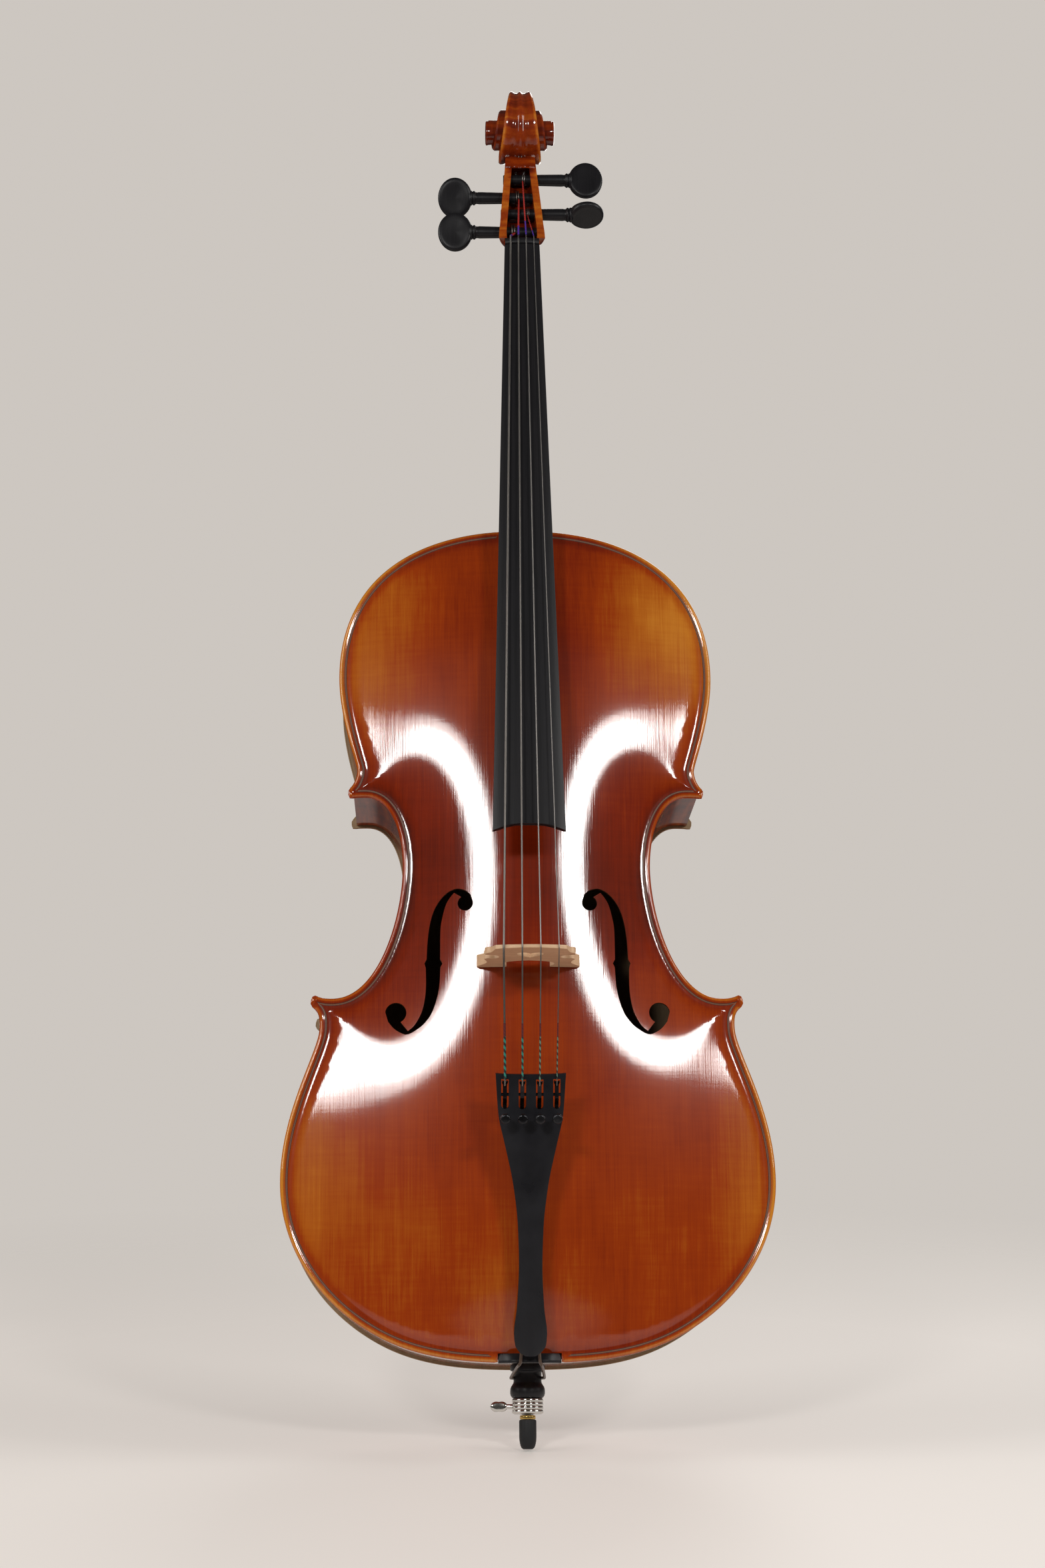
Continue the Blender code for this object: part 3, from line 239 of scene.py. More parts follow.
def maple_look(name, bands, turn=(0, 0, 0), along=False, dark=0.0):
    """Flamed maple under the same varnish. bands scales the noise that makes the flame."""
    look = Look(name, roughness=0.30, coat=0.9, coat_roughness=0.06, specular=0.05)
    if along:
        where = look.node("ShaderNodeTexCoord", {}).outputs["Object"]
        parts = look.node("ShaderNodeSeparateXYZ", {"Vector": where})
        inputs = {"X": look.attribute("along"), "Y": parts.outputs["Y"], "Z": 0.0}
        source = look.node("ShaderNodeCombineXYZ", inputs).outputs[0]
    else:
        source = None
    flame = look.noise(bands, detail=2.0, distortion=0.5, source=source, turn=turn)
    grain = look.noise([abs(b) * 0.12 + 40 for b in bands], detail=3.0, source=source)
    pores = look.noise((900, 900, 60), detail=2.0)
    value = look.spread(flame, 0.36, 0.64, 0.34 + dark, 0.66 + dark)
    fine = (look.spread(grain, 0.3, 0.7, -0.10, 0.10), look.spread(pores, 0.3, 0.7, -0.04, 0.04))
    value = look.total(value, *fine)
    # the attribute read here makes the varnish lighter or darker: real wear and dirt, and on the neck also
    # painted highlight and painted shade
    value = look.math("SUBTRACT", value, look.attribute("worn"))
    stops = [
        (0.0, (0.55, 0.200, 0.020)), (0.25, (0.40, 0.085, 0.006)), (0.5, (0.25, 0.030, 0.0025)),
        (0.75, (0.125, 0.011, 0.0020)), (1.0, (0.045, 0.005, 0.0015)),
    ]
    look.set("Base Color", look.ramp(value, stops))
    look.set("Normal", look.bump(look.math("ADD", flame, look.math("MULTIPLY", pores, 0.3)), 0.18, 0.0002))
    return look.material


def wood_look(name, light, dark, scale=(700, 90, 12), roughness=0.62, rough_bump=0.25, coat=0.0, specular=0.5):
    look = Look(name, roughness=roughness, coat=coat, coat_roughness=0.25, specular=specular)
    grain = look.noise(scale, detail=4.0, roughness=0.65)
    broad = look.noise([s * 0.13 + 4 for s in scale], detail=2.0)
    value = look.math("ADD", look.math("MULTIPLY", grain, 0.65), look.math("MULTIPLY", broad, 0.35))
    look.set("Base Color", look.ramp(value, [(0.3, dark), (0.7, light)]))
    look.set("Normal", look.bump(grain, rough_bump, 0.00012))
    return look.material


def dull_look(name, colour, other, roughness, metallic=0.0, scale=420.0, bump=0.08, specular=0.5, spread=0.08):
    """Plastic, rubber or metal: two close colours, a fine texture and a roughness that wanders."""
    look = Look(name, roughness=roughness, metallic=metallic, specular=specular)
    grain = look.noise((scale,) * 3, detail=3.0)
    broad = look.noise((34, 34, 34), detail=3.0)
    look.set("Base Color", look.ramp(look.spread(broad, 0.3, 0.7), [(0.0, colour), (1.0, other)]))
    look.set("Roughness", look.spread(broad, 0.3, 0.7, roughness - spread, roughness + spread))
    look.set("Normal", look.bump(grain, bump, 0.00008))
    return look.material


def wound_look(name, colour, roughness, turns):
    """A string: a core wound with flat metal ribbon, seen as very fine rings."""
    look = Look(name, roughness=roughness, metallic=1.0)
    where = look.place((0, 0.15, turns))
    rings = look.node("ShaderNodeTexWave", {"Vector": where, "Scale": 1.0}, bands_direction="Z").outputs["Fac"]
    look.set("Base Color", look.ramp(rings, [(0.0, [c * 0.7 for c in colour]), (1.0, colour)]))
    look.set("Normal", look.bump(rings, 0.2, 0.00005))
    return look.material


def silk_look(name, colours, pitch):
    """Silk wound in a helix of two colours: the stripes lean across the string."""
    look = Look(name, roughness=0.7)
    where = look.node("ShaderNodeTexCoord", {}).outputs["Object"]
    parts = look.node("ShaderNodeSeparateXYZ", {"Vector": where})
    lean = look.math("MULTIPLY", parts.outputs["X"], 1.1)
    phase = look.math("DIVIDE", look.math("ADD", parts.outputs["Z"], lean), pitch * MM)
    band = look.math("FRACT", phase)
    low, high = colours
    stops = [(0.0, low), (0.40, low), (0.5, high), (0.90, high), (1.0, low)]
    look.set("Base Color", look.ramp(band, stops))
    threads = look.noise((2500, 2500, 3800), detail=1.0)
    look.set("Normal", look.bump(threads, 0.4, 0.0001))
    return look.material


SPRUCE = spruce_look()
BACK_MAPLE = maple_look("back_maple_varnish", (14, 14, 105), turn=(0, math.radians(9), 0), dark=0.04)
RIB_MAPLE = maple_look("rib_maple_varnish", (120, 9, 9), along=True, dark=0.06)
NECK_MAPLE = maple_look("neck_maple_varnish", (16, 20, 120), dark=0.02)
BARE_SPRUCE = wood_look("bare_spruce", (0.42, 0.29, 0.16), (0.30, 0.18, 0.09), roughness=0.75)
BARE_MAPLE = wood_look("bare_maple", (0.34, 0.23, 0.13), (0.25, 0.16, 0.08), scale=(300, 300, 40), roughness=0.72)
CUT_SPRUCE = wood_look("f_hole_edge", (0.16, 0.052, 0.016), (0.07, 0.020, 0.007), roughness=0.5)
BRIDGE_MAPLE = wood_look(
    "bridge_maple", (0.74, 0.50, 0.31), (0.55, 0.33, 0.18), scale=(95, 900, 900), roughness=0.52, rough_bump=0.2
)
EBONY = wood_look(
    "ebony", (0.013, 0.012, 0.014), (0.006, 0.006, 0.007), scale=(900, 200, 14), roughness=0.38, rough_bump=0.35,
    specular=0.25
)
BLACK_PLASTIC = dull_look("black_composite", (0.007, 0.007, 0.009), (0.011, 0.011, 0.014), 0.34, specular=0.25)
BLACK_METAL = dull_look("black_metal", (0.014, 0.014, 0.016), (0.030, 0.030, 0.033), 0.26, metallic=0.85)
CHROME = dull_look("chrome", (0.66, 0.65, 0.62), (0.56, 0.55, 0.52), 0.13, metallic=1.0, bump=0.03, spread=0.05)
BRASS = dull_look("brass", (0.66, 0.44, 0.14), (0.50, 0.32, 0.09), 0.26, metallic=1.0, bump=0.05)
ROD_STEEL = dull_look("endpin_steel", (0.42, 0.42, 0.42), (0.33, 0.33, 0.33), 0.28, metallic=1.0, bump=0.04)
RUBBER = dull_look(
    "rubber", (0.007, 0.007, 0.008), (0.012, 0.012, 0.013), 0.55, bump=0.25, scale=900, specular=0.3
)
GUT = dull_look("tailgut", (0.050, 0.028, 0.017), (0.085, 0.050, 0.030), 0.38, bump=0.15, scale=900)
GLOSS = {"roughness": 0.35, "coat": 0.8}
PURFLING_BLACK = wood_look("purfling_black", (0.020, 0.009, 0.006), (0.010, 0.005, 0.004), **GLOSS)
PURFLING_PALE = wood_look("purfling_pale", (0.26, 0.085, 0.020), (0.16, 0.045, 0.012), **GLOSS)
WOUND_STEEL = wound_look("wound_steel", (0.26, 0.245, 0.23), 0.34, 2600.0)
WOUND_DARK = wound_look("wound_tungsten", (0.20, 0.185, 0.17), 0.36, 1900.0)
SILK_GREEN = silk_look("silk_green", ((0.008, 0.010, 0.010), (0.015, 0.20, 0.15)), 5.5)
SILK_PALE = silk_look("silk_pale_green", ((0.014, 0.011, 0.010), (0.11, 0.22, 0.15)), 5.0)
SILK_GREY = silk_look("silk_grey_green", ((0.012, 0.012, 0.010), (0.10, 0.19, 0.13)), 5.0)
SILK_WINE = silk_look("silk_wine", ((0.10, 0.006, 0.008), (0.060, 0.004, 0.006)), 3.0)
SILK_RED = silk_look("silk_red", ((0.42, 0.020, 0.012), (0.28, 0.012, 0.010)), 3.0)
SILK_BLUE = silk_look("silk_blue", ((0.035, 0.020, 0.32), (0.10, 0.012, 0.24)), 4.0)


# ---------------------------------------------------------------- meshes
class Shape:
    """Points in millimetres and faces, gathered from parts; each face has the index of its look."""

    def __init__(self):
        self.points, self.faces, self.looks = [], [], []

    def add(self, points, faces, look=0, place=None):
        start = len(self.points)
        if place is not None:
            points = [tuple(place @ Vector(point)) for point in points]
        self.points += [tuple(float(value) for value in point) for point in points]
        self.faces += [tuple(start + int(k) for k in face) for face in faces]
        self.looks += [look] * len(faces)
        return self


def linked(name, data):
    made = bpy.data.objects.new(name, data)
    bpy.context.scene.collection.objects.link(made)
    return made


def mesh_of(name, shape, merge=0.0):
    """A mesh in metres with its faces turned outwards."""
    mesh = bpy.data.meshes.new(name)
    mesh.from_pydata([[value * MM for value in point] for point in shape.points], [], shape.faces)
    mesh.polygons.foreach_set("material_index", shape.looks)
    bm = bmesh.new()
    bm.from_mesh(mesh)
    if merge:
        bmesh.ops.remove_doubles(bm, verts=bm.verts, dist=merge * MM)
        bmesh.ops.dissolve_degenerate(bm, edges=bm.edges, dist=0.001 * MM)
    bmesh.ops.recalc_face_normals(bm, faces=bm.faces)
    bm.to_mesh(mesh)
    bm.free()
    return mesh


def shaded(made, angle):
    made.data.shade_smooth()
    made.data.set_sharp_from_angle(angle=math.radians(angle))


def rounded(made, width, angle, segments=2):
    modifier = made.modifiers.new("rounded edges", "BEVEL")
    modifier.width = width * MM
    modifier.segments = segments
    modifier.limit_method = "ANGLE"
    modifier.angle_limit = math.radians(angle)
    modifier.harden_normals = True


def piece(name, shape, looks, body="cello", nodes=(), sharp=35.0, bevel=0.0, segments=2):
    """An object from a Shape, on a body, standing for its CAD nodes."""
    made = linked(name, mesh_of(name, shape))
    for look in looks:
        made.data.materials.append(look)
    shaded(made, sharp)
    if bevel:
        rounded(made, bevel, sharp, segments)
    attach(made, body)
    if nodes:
        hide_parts(*nodes)
    return made


def grid(rings, closed_path=False, caps=True, wrap=True):
    """Points and faces through rings of equally many points."""
    rings = [list(ring) for ring in rings]
    count = len(rings[0])
    points = [point for ring in rings for point in ring]
    faces = []
    rows = len(rings) if closed_path else len(rings) - 1
    for i in range(rows):
        one, two = i * count, ((i + 1) % len(rings)) * count
        for k in range(count if wrap else count - 1):
            follow = (k + 1) % count
            faces.append((one + k, one + follow, two + follow, two + k))
    if caps and not closed_path:
        faces.append(tuple(range(count)))
        last = (len(rings) - 1) * count
        faces.append(tuple(last + k for k in reversed(range(count))))
    return points, faces


def turned(profile, steps=64, radius_at=None):
    """A profile of (radius, height) spun round Z; ends on the axis close there, else the profile closes."""
    hollow = profile[0][0] > 0
    rings = []
    for radius, height in profile:
        ring = []
        for k in range(steps):
            angle = 2 * math.pi * k / steps
            reach = max(radius, 1e-4) if radius_at is None else radius_at(max(radius, 1e-4), angle, height)
            ring.append((reach * math.cos(angle), reach * math.sin(angle), height))
        rings.append(ring)
    return grid(rings, closed_path=hollow, caps=not hollow)


def tube(path, radius, sides=14):
    """A round cord through points, with its frame carried along."""
    path = np.array(path, float)
    ways = np.gradient(path, axis=0)
    ways /= np.linalg.norm(ways, axis=1)[:, None]
    across = np.cross(ways[0], [0.0, 1.0, 0.3])
    rings = []
    for point, way in zip(path, ways):
        across = across - way * (across @ way)
        across /= np.linalg.norm(across)
        up = np.cross(way, across)
        angles = np.linspace(0, 2 * math.pi, sides, endpoint=False)
        rings.append([point + radius * (math.cos(a) * across + math.sin(a) * up) for a in angles])
    return grid(rings)


def eased(points, steps=6, closed=False):
    """A Catmull-Rom curve through points."""
    points = np.array(points, float)
    if closed:
        points = np.vstack([points[-1], points, points[:2]])
    else:
        points = np.vstack([2 * points[0] - points[1], points, 2 * points[-1] - points[-2]])
    found = []
    for a, b, c, d in zip(points, points[1:], points[2:], points[3:]):
        for t in np.arange(steps) / steps:
            part = 2 * b + (c - a) * t + (2 * a - 5 * b + 4 * c - d) * t * t + (3 * b - a - 3 * c + d) * t**3
            found.append(part / 2)
    if not closed:
        found.append(points[-2])
    return np.array(found)


# ---------------------------------------------------------------- the outline and the arching
def bezier(start, start_angle, start_handle, end, end_angle, end_handle, steps):
    start, end = np.array(start, float), np.array(end, float)
    ends = ((start, 1, start_handle, start_angle), (end, -1, end_handle, end_angle))
    one, two = (
        point + sign * handle * np.array([math.cos(math.radians(angle)), math.sin(math.radians(angle))])
        for point, sign, handle, angle in ends
    )
    t = np.linspace(0, 1, steps + 1)[:, None]
    return (1 - t) ** 3 * start + 3 * (1 - t) ** 2 * t * one + 3 * (1 - t) * t * t * two + t**3 * end


def bout(curves, fineness):
    points = []
    for *curve, steps in curves:
        points += list(bezier(*curve, steps * fineness))[1 if points else 0:]
    return np.array(points)


def whole_outline(fineness):
    half = bout(LOWER_BOUT + LOWER_CORNER + CENTRE_BOUT + UPPER_CORNER + UPPER_BOUT, fineness)
    return np.vstack([half, half[-2:0:-1] * [-1, 1]])


def evened(points, step, closed=False):
    """The same line with points at an even spacing."""
    line = np.vstack([points, points[:1]]) if closed else np.array(points)
    reach = lengths_along(line)
    count = max(2, round(reach[-1] / step))
    at = np.linspace(0, reach[-1], count + 1)
    made = np.column_stack([np.interp(at, reach, line[:, axis]) for axis in range(line.shape[1])])
    return made[:-1] if closed else made


def lengths_along(line):
    return np.append(0, np.cumsum(np.linalg.norm(np.diff(line, axis=0), axis=1)))


def leftwards(line):
    """The unit direction to the left of an open line, at each of its points."""
    run = np.gradient(line, axis=0)
    run /= np.linalg.norm(run, axis=1)[:, None]
    return np.column_stack([-run[:, 1], run[:, 0]])


FIELD_START = whole_outline(10)
FIELD_LENGTH = np.linalg.norm(np.roll(FIELD_START, -1, axis=0) - FIELD_START, axis=1)


def nearest_on(spots, start):
    """The distance to a closed line, and the squared distances to its segments' middles, for some spots."""
    run = np.roll(start, -1, axis=0) - start
    middle = start + run / 2
    squares = (spots**2).sum(1)[:, None] + (middle**2).sum(1) - 2 * spots @ middle.T
    squares = np.maximum(squares, 1e-6)
    around = squares.argmin(1)[:, None] + np.arange(-2, 3)
    around %= len(start)
    part, way = start[around], run[around]
    along = ((spots[:, None, :] - part) * way).sum(2) / (way**2).sum(2)
    gap = part + np.clip(along, 0, 1)[..., None] * way - spots[:, None, :]
    return np.sqrt((gap**2).sum(2).min(1)), squares


def edge_fields(x, z):
    """The distance to the outline, and the share of the way up the arch: 0 at the edge and 1 on the spine."""
    near, crowd = np.empty(len(x)), np.empty(len(x))
    for low in range(0, len(x), 3000):
        part = slice(low, low + 3000)
        near[part], squares = nearest_on(np.column_stack([x[part], z[part]]), FIELD_START)
        crowd[part] = (FIELD_LENGTH / (squares * squares * np.sqrt(squares))).sum(1)
    smooth = (crowd * 0.75) ** -0.25
    share = np.clip((near - 8) / 20, 0, 1)
    share = share * share * (3 - 2 * share)
    distance = near + (smooth - near) * share
    beyond = np.maximum(0, np.maximum(SPINE_LOW - z, z - SPINE_HIGH))
    return near, distance / (distance + np.hypot(x, beyond) + 1e-9)


def heights(x, z, arch):
    """(outer, inner) height of a plate above the glue plane, with its edge rounded over."""
    x, z = np.asarray(x, float), np.asarray(z, float)
    near, share = edge_fields(x, z)
    lift = arch * (1 - np.cos(np.pi * share**0.7)) / 2
    channel = 1.1 * np.exp(-(((near - 9.0) / 5.0) ** 2)) * np.minimum(1.0, near / 4.0)
    outer = EDGE_THICKNESS + lift - channel
    inner = np.maximum(0.0, outer - PLATE_THICKNESS)
    bead = 0.45 * np.exp(-(((near - 2.6) / 1.5) ** 2))
    turn = np.clip(1 - near / 2.6, 0, 1)
    outer = 1.9 + (outer + bead - 1.9) * np.sqrt(1 - turn**2)
    inner = np.where(near < 0.9, 0.9 * (1 - np.sqrt(np.clip(1 - (1 - near / 0.9) ** 2, 0, 1))), inner)
    return outer, inner


def surface_normals(x, z, arch, side, step=0.25):
    dx = (heights(x + step, z, arch)[0] - heights(x - step, z, arch)[0]) / (2 * step)
    dz = (heights(x, z + step, arch)[0] - heights(x, z - step, arch)[0]) / (2 * step)
    steep = 3.0
    dx, dz = np.clip(dx, -steep, steep), np.clip(dz, -steep, steep)
    made = np.column_stack([-dx, np.full(len(x), float(side)), -dz])
    return made / np.linalg.norm(made, axis=1)[:, None]


def inside(spots, loop):
    """Which (x, z) spots lie inside a closed loop."""
    x, z = spots[:, 0][:, None], spots[:, 1][:, None]
    ax, az = loop[:, 0], loop[:, 1]
    bx, bz = np.roll(ax, -1), np.roll(az, -1)
    crosses = (az > z) != (bz > z)
    with np.errstate(divide="ignore", invalid="ignore"):
        at = (bx - ax) * (z - az) / (bz - az) + ax
    return (crosses & (x < at)).sum(1) % 2 == 1


def loop_normals(loop):
    run = np.roll(loop, -1, axis=0) - np.roll(loop, 1, axis=0)
    run /= np.linalg.norm(run, axis=1)[:, None]
    return np.column_stack([-run[:, 1], run[:, 0]])


def distance_to(spots, loop):
    return np.concatenate([nearest_on(spots[low:low + 3000], loop)[0] for low in range(0, len(spots), 3000)])


def f_hole(side):
    def around(eye, start, end):
        angles = np.radians(np.linspace(start, end, 26))
        return np.column_stack([eye[0] + eye[2] * np.cos(angles), eye[1] + eye[2] * np.sin(angles)])

    loop = np.vstack([
        around(UPPER_EYE, 58, -192), eased(F_OUTER_UPPER, 4), [F_OUTER_NICK], eased(F_OUTER_LOWER, 5),
        around(LOWER_EYE, -118, -352), eased(F_INNER_LOWER, 4), [F_INNER_NICK], eased(F_INNER_UPPER, 5),
    ])
    return loop * [side, 1]


def triangulated(loops, extra):
    """Triangles over the first loop less the others, using the extra points."""
    points, edges = [], []
    for loop in loops:
        start = len(points)
        points += [Vector(point) for point in loop]
        edges += [(start + k, start + (k + 1) % len(loop)) for k in range(len(loop))]
    points += [Vector(point) for point in extra]
    spots, _, faces, origin, _, _ = delaunay_2d_cdt(points, edges, [], 0, 1e-4)
    spots = np.array([tuple(spot) for spot in spots])
    faces = np.array([face for face in faces if len(face) == 3])
    middles = spots[faces].mean(1)
    kept = inside(middles, loops[0])
    for loop in loops[1:]:
        kept &= ~inside(middles, loop)
    return spots, faces[kept]


def boundary(faces):
    """The directed edges that only one face has."""
    edges = np.vstack([faces[:, [0, 1]], faces[:, [1, 2]], faces[:, [2, 0]]])
    have = {(a, b) for a, b in edges.tolist()}
    return [(a, b) for a, b in edges.tolist() if (b, a) not in have]


def plate(name, node, arch, side, outline, holes, looks):
    """A carved plate: a fine triangulated sheet for each face, and walls at its edges."""
    rings = (0.12, 0.35, 0.7, 1.15, 1.7, 2.3, 3.0, 3.9, 5.0, 6.3, 7.8, 9.6, 12.0, 15.0)
    normals = loop_normals(outline)
    if np.cross(outline[1] - outline[0], normals[0]) < 0:
        normals = -normals
    extra = []
    for ring in rings:
        spots = outline + normals * ring
        keep = (distance_to(spots, outline) > ring * 0.985) & inside(spots, outline)
        extra.append(spots[keep])
    step = 5.0
    xs, zs = np.meshgrid(np.arange(-222.5, 223, step), np.arange(-2.5, 775, step * 0.9))
    xs[::2] += step / 2
    spots = np.column_stack([xs.ravel(), zs.ravel()])
    spots = spots[inside(spots, outline)]
    extra.append(spots[distance_to(spots, outline) > 17.0])
    extra = np.vstack(extra)
    for hole in holes:
        away = loop_normals(hole)
        if inside(hole[:1] + away[:1] * 0.5, hole)[0]:
            away = -away
        extra = extra[~inside(extra, hole) & (distance_to(extra, hole) > 3.4)]
        for ring in (0.6, 1.8):
            spots = hole + away * ring
            extra = np.vstack([extra, spots[distance_to(spots, hole) > ring * 0.97]])
    spots, faces = triangulated([outline] + holes, extra)
    x, z = spots[:, 0], spots[:, 1]
    outer, inner = heights(x, z, arch)
    for hole in holes:
        rim = np.clip(1 - distance_to(spots, hole) / 0.6, 0, 1)
        outer = outer - 0.35 * rim**2
    button = z > 754.9
    outer = np.where(button, np.maximum(outer, 5.6), outer)
    inner = np.where(button, 0.0, inner)
    count = len(spots)
    shape = Shape()
    sheets = np.vstack([np.column_stack([x, side * (GLUE_Y + sheet), z + BODY_BASE]) for sheet in (outer, inner)])
    shape.add(sheets, faces.tolist())
    shape.add([], [(a - count, c - count, b - count) for a, b, c in faces.tolist()], look=1)
    walls = boundary(faces)
    from_rim = distance_to(spots[[a for a, _ in walls]], outline)
    for (a, b), away in zip(walls, from_rim):
        shape.faces.append((b, a, a + count, b + count))
        shape.looks.append(0 if away < 0.05 else 2)
    made = piece(name, shape, looks, nodes=[node], sharp=40)
    mesh = made.data
    analytic = surface_normals(x, z, arch, side)
    analytic[button] = (0, side, 0)
    loops = np.zeros((len(mesh.loops), 3))
    vertex = np.empty(len(mesh.loops), int)
    mesh.loops.foreach_get("vertex_index", vertex)
    total = np.empty(len(mesh.polygons), int)
    mesh.polygons.foreach_get("loop_total", total)
    kind = np.repeat(np.arange(len(mesh.polygons)) < len(faces), total)
    loops[kind] = analytic[vertex[kind]]
    mesh.normals_split_custom_set(loops.tolist())
    near, _ = edge_fields(np.append(x, x), np.append(z, z))
    return made, np.append(x, x), np.append(z, z), near


def store(made, name, values):
    """A number at each vertex, for the material to read."""
    layer = made.data.attributes.new(name, "FLOAT", "POINT")
    layer.data.foreach_set("value", np.asarray(values, float))


def blob(x, z, cx, cz, rx, rz):
    return np.exp(-(((x - cx) / rx) ** 2) - ((z - cz) / rz) ** 2)


def top_tone(x, z, near):
    """How far the varnish is from gold (0) to dark red-brown (1), with painted shade added under and beside the
    fingerboard.
    """
    tone = np.full(len(x), 0.47)
    tone += 0.24 * blob(x, z, 0, 420, 400, 115)
    tone += 0.10 * blob(x, z, 95, 440, 60, 150) + 0.10 * blob(x, z, -95, 440, 60, 150)
    # painted shade: darker under the fingerboard, and in a band to its right where its shadow falls
    tone += 0.13 * blob(x, z, 0, 660, 62, 130)
    tone += 0.10 * blob(x, z, 45, 640, 22, 150)
    tone -= 0.36 * blob(x, z, 128, 672, 56, 66) + 0.22 * blob(x, z, 172, 600, 34, 75)
    tone -= 0.20 * blob(x, z, -150, 620, 34, 95) + 0.08 * blob(x, z, -110, 690, 60, 40)
    tone -= 0.20 * blob(x, z, 195, 140, 42, 110) + 0.20 * blob(x, z, -195, 140, 46, 120)
    tone -= 0.05 * blob(x, z, 0, 60, 170, 75)
    tone += 0.08 * blob(x, z, 60, 170, 100, 110)
    tone += 0.16 * np.exp(-(((near - 8.5) / 4.0) ** 2))
    tone -= 0.36 * np.exp(-(((near - 1.6) / 1.5) ** 2))
    return tone


def back_outline():
    """The back's outline, which runs up into the button."""
    centre = BUTTON_TOP - BUTTON_RADIUS
    body = evened(whole_outline(8), 3.4, closed=True)
    body = np.roll(body, -int(np.argmin(np.hypot(body[:, 0], body[:, 1]))), axis=0)
    right = body[(body[:, 0] > -1e-6) & ~((body[:, 1] > 700) & (body[:, 0] < BUTTON_RADIUS + 1.5))]
    arc = np.radians(np.linspace(0, 90, 14))
    button = np.column_stack([BUTTON_RADIUS * np.cos(arc), centre + BUTTON_RADIUS * np.sin(arc)])
    half = np.vstack([right, [(BUTTON_RADIUS + 0.3, 755.4)], button])
    half[0, 0] = half[-1, 0] = 0.0
    return np.vstack([half, half[-2:0:-1] * [-1, 1]])


def make_plates():
    outline = evened(whole_outline(8), 3.4, closed=True)
    (saddle_half, saddle_z), (neck_half, neck_z) = SADDLE_SEAT, NECK_SEAT
    from_middle, level = np.abs(outline[:, 0]), outline[:, 1]
    keep = ~((from_middle < saddle_half) & (level < 40)) & ~((from_middle < neck_half) & (level > 700))
    start = int(np.argmax(~keep & (outline[:, 1] < 40) & (outline[:, 0] < 0) & (np.roll(keep, 1))))
    outline, keep = np.roll(outline, -start, axis=0), np.roll(keep, -start)
    made, done = [], {"low": False, "high": False}
    for point, kept in zip(outline, keep):
        if kept:
            made.append(tuple(point))
            continue
        where = "low" if point[1] < 40 else "high"
        if not done[where]:
            done[where] = True
            if where == "low":
                made += [(-saddle_half, 1.0), (-saddle_half, saddle_z)]
                made += [(x, saddle_z) for x in range(-24, 25, 6)] + [(saddle_half, saddle_z), (saddle_half, 1.0)]
            else:
                made += [(neck_half, 754.4), (neck_half, neck_z)] + [(x, neck_z) for x in range(18, -19, -6)]
                made += [(-neck_half, neck_z), (-neck_half, 754.4)]
    holes = [f_hole(1), f_hole(-1)]
    looks = [SPRUCE, BARE_SPRUCE, CUT_SPRUCE]
    top, x, z, near = plate("top", "top_plate", ARCH_TOP, -1, np.array(made), holes, looks)
    store(top, "tone", top_tone(x, z, near))
    looks = [BACK_MAPLE, BARE_MAPLE, BACK_MAPLE]
    back, x, z, near = plate("back", "back_plate", ARCH_BACK, 1, back_outline(), [], looks)
    # on the back this holds wear and dirt only: lighter at the worn edge and in the middle, darker with dirt in
    # the channel
    worn = 0.35 * np.exp(-(((near - 1.6) / 1.5) ** 2)) - 0.15 * np.exp(-(((near - 8.5) / 4.0) ** 2))
    worn += 0.10 * blob(x, z, 0, 390, 120, 200)
    store(back, "worn", worn)


def purfling(name, side, arch):
    """Three thin strips let into the plate, just inside its edge, mitred at the corners."""
    shape = Shape()
    lines = [evened(bout(curves, 8), 2.4) for curves in (LOWER_BOUT, CENTRE_BOUT, UPPER_BOUT)]
    runs = [(line, mirror) for line in lines for mirror in (1, -1)]
    for near, far, look in ((4.9, 5.45, 0), (5.45, 6.15, 1), (6.15, 6.7, 0)):
        for line, mirror in runs:
            across = leftwards(line)
            middle = line + across * (near + far) / 2
            keep = distance_to(middle, FIELD_START) > (near + far) / 2 * 0.97
            low_cut = 29 if side < 0 else 0
            keep &= ~((np.abs(middle[:, 0]) < low_cut) & (middle[:, 1] < 40))
            keep &= ~((np.abs(middle[:, 0]) < 24) & (middle[:, 1] > 700) & (side < 0))
            rings = []
            for spot, way in zip(line[keep], across[keep]):
                one, two = spot + way * near, spot + way * far
                rings.append([(one[0] * mirror, one[1]), (two[0] * mirror, two[1])])
            flat = np.array(rings).reshape(-1, 2)
            lift = heights(flat[:, 0], flat[:, 1], arch)[0]
            rings = []
            for k in range(0, len(flat), 2):
                (ax, az), (bx, bz) = flat[k], flat[k + 1]
                ya, yb = GLUE_Y + lift[k], GLUE_Y + lift[k + 1]
                rings.append([
                    (ax, side * (ya - 0.6), az + BODY_BASE), (ax, side * (ya + 0.05), az + BODY_BASE),
                    (bx, side * (yb + 0.05), bz + BODY_BASE), (bx, side * (yb - 0.6), bz + BODY_BASE),
                ])
            shape.add(*grid(rings), look=look)
    piece(name, shape, [PURFLING_BLACK, PURFLING_PALE], sharp=30)


# ---------------------------------------------------------------- ribs
def offset(points, distance):
    return points + distance * leftwards(points)


def trimmed(points, from_start, from_end):
    reach = lengths_along(points)
    low, high = from_start, reach[-1] - from_end
    kept = (reach > low + 0.5) & (reach < high - 0.5)
    ends = [[np.interp(at, reach, points[:, axis]) for axis in (0, 1)] for at in (low, high)]
    return np.vstack([ends[0], points[kept], ends[1]])


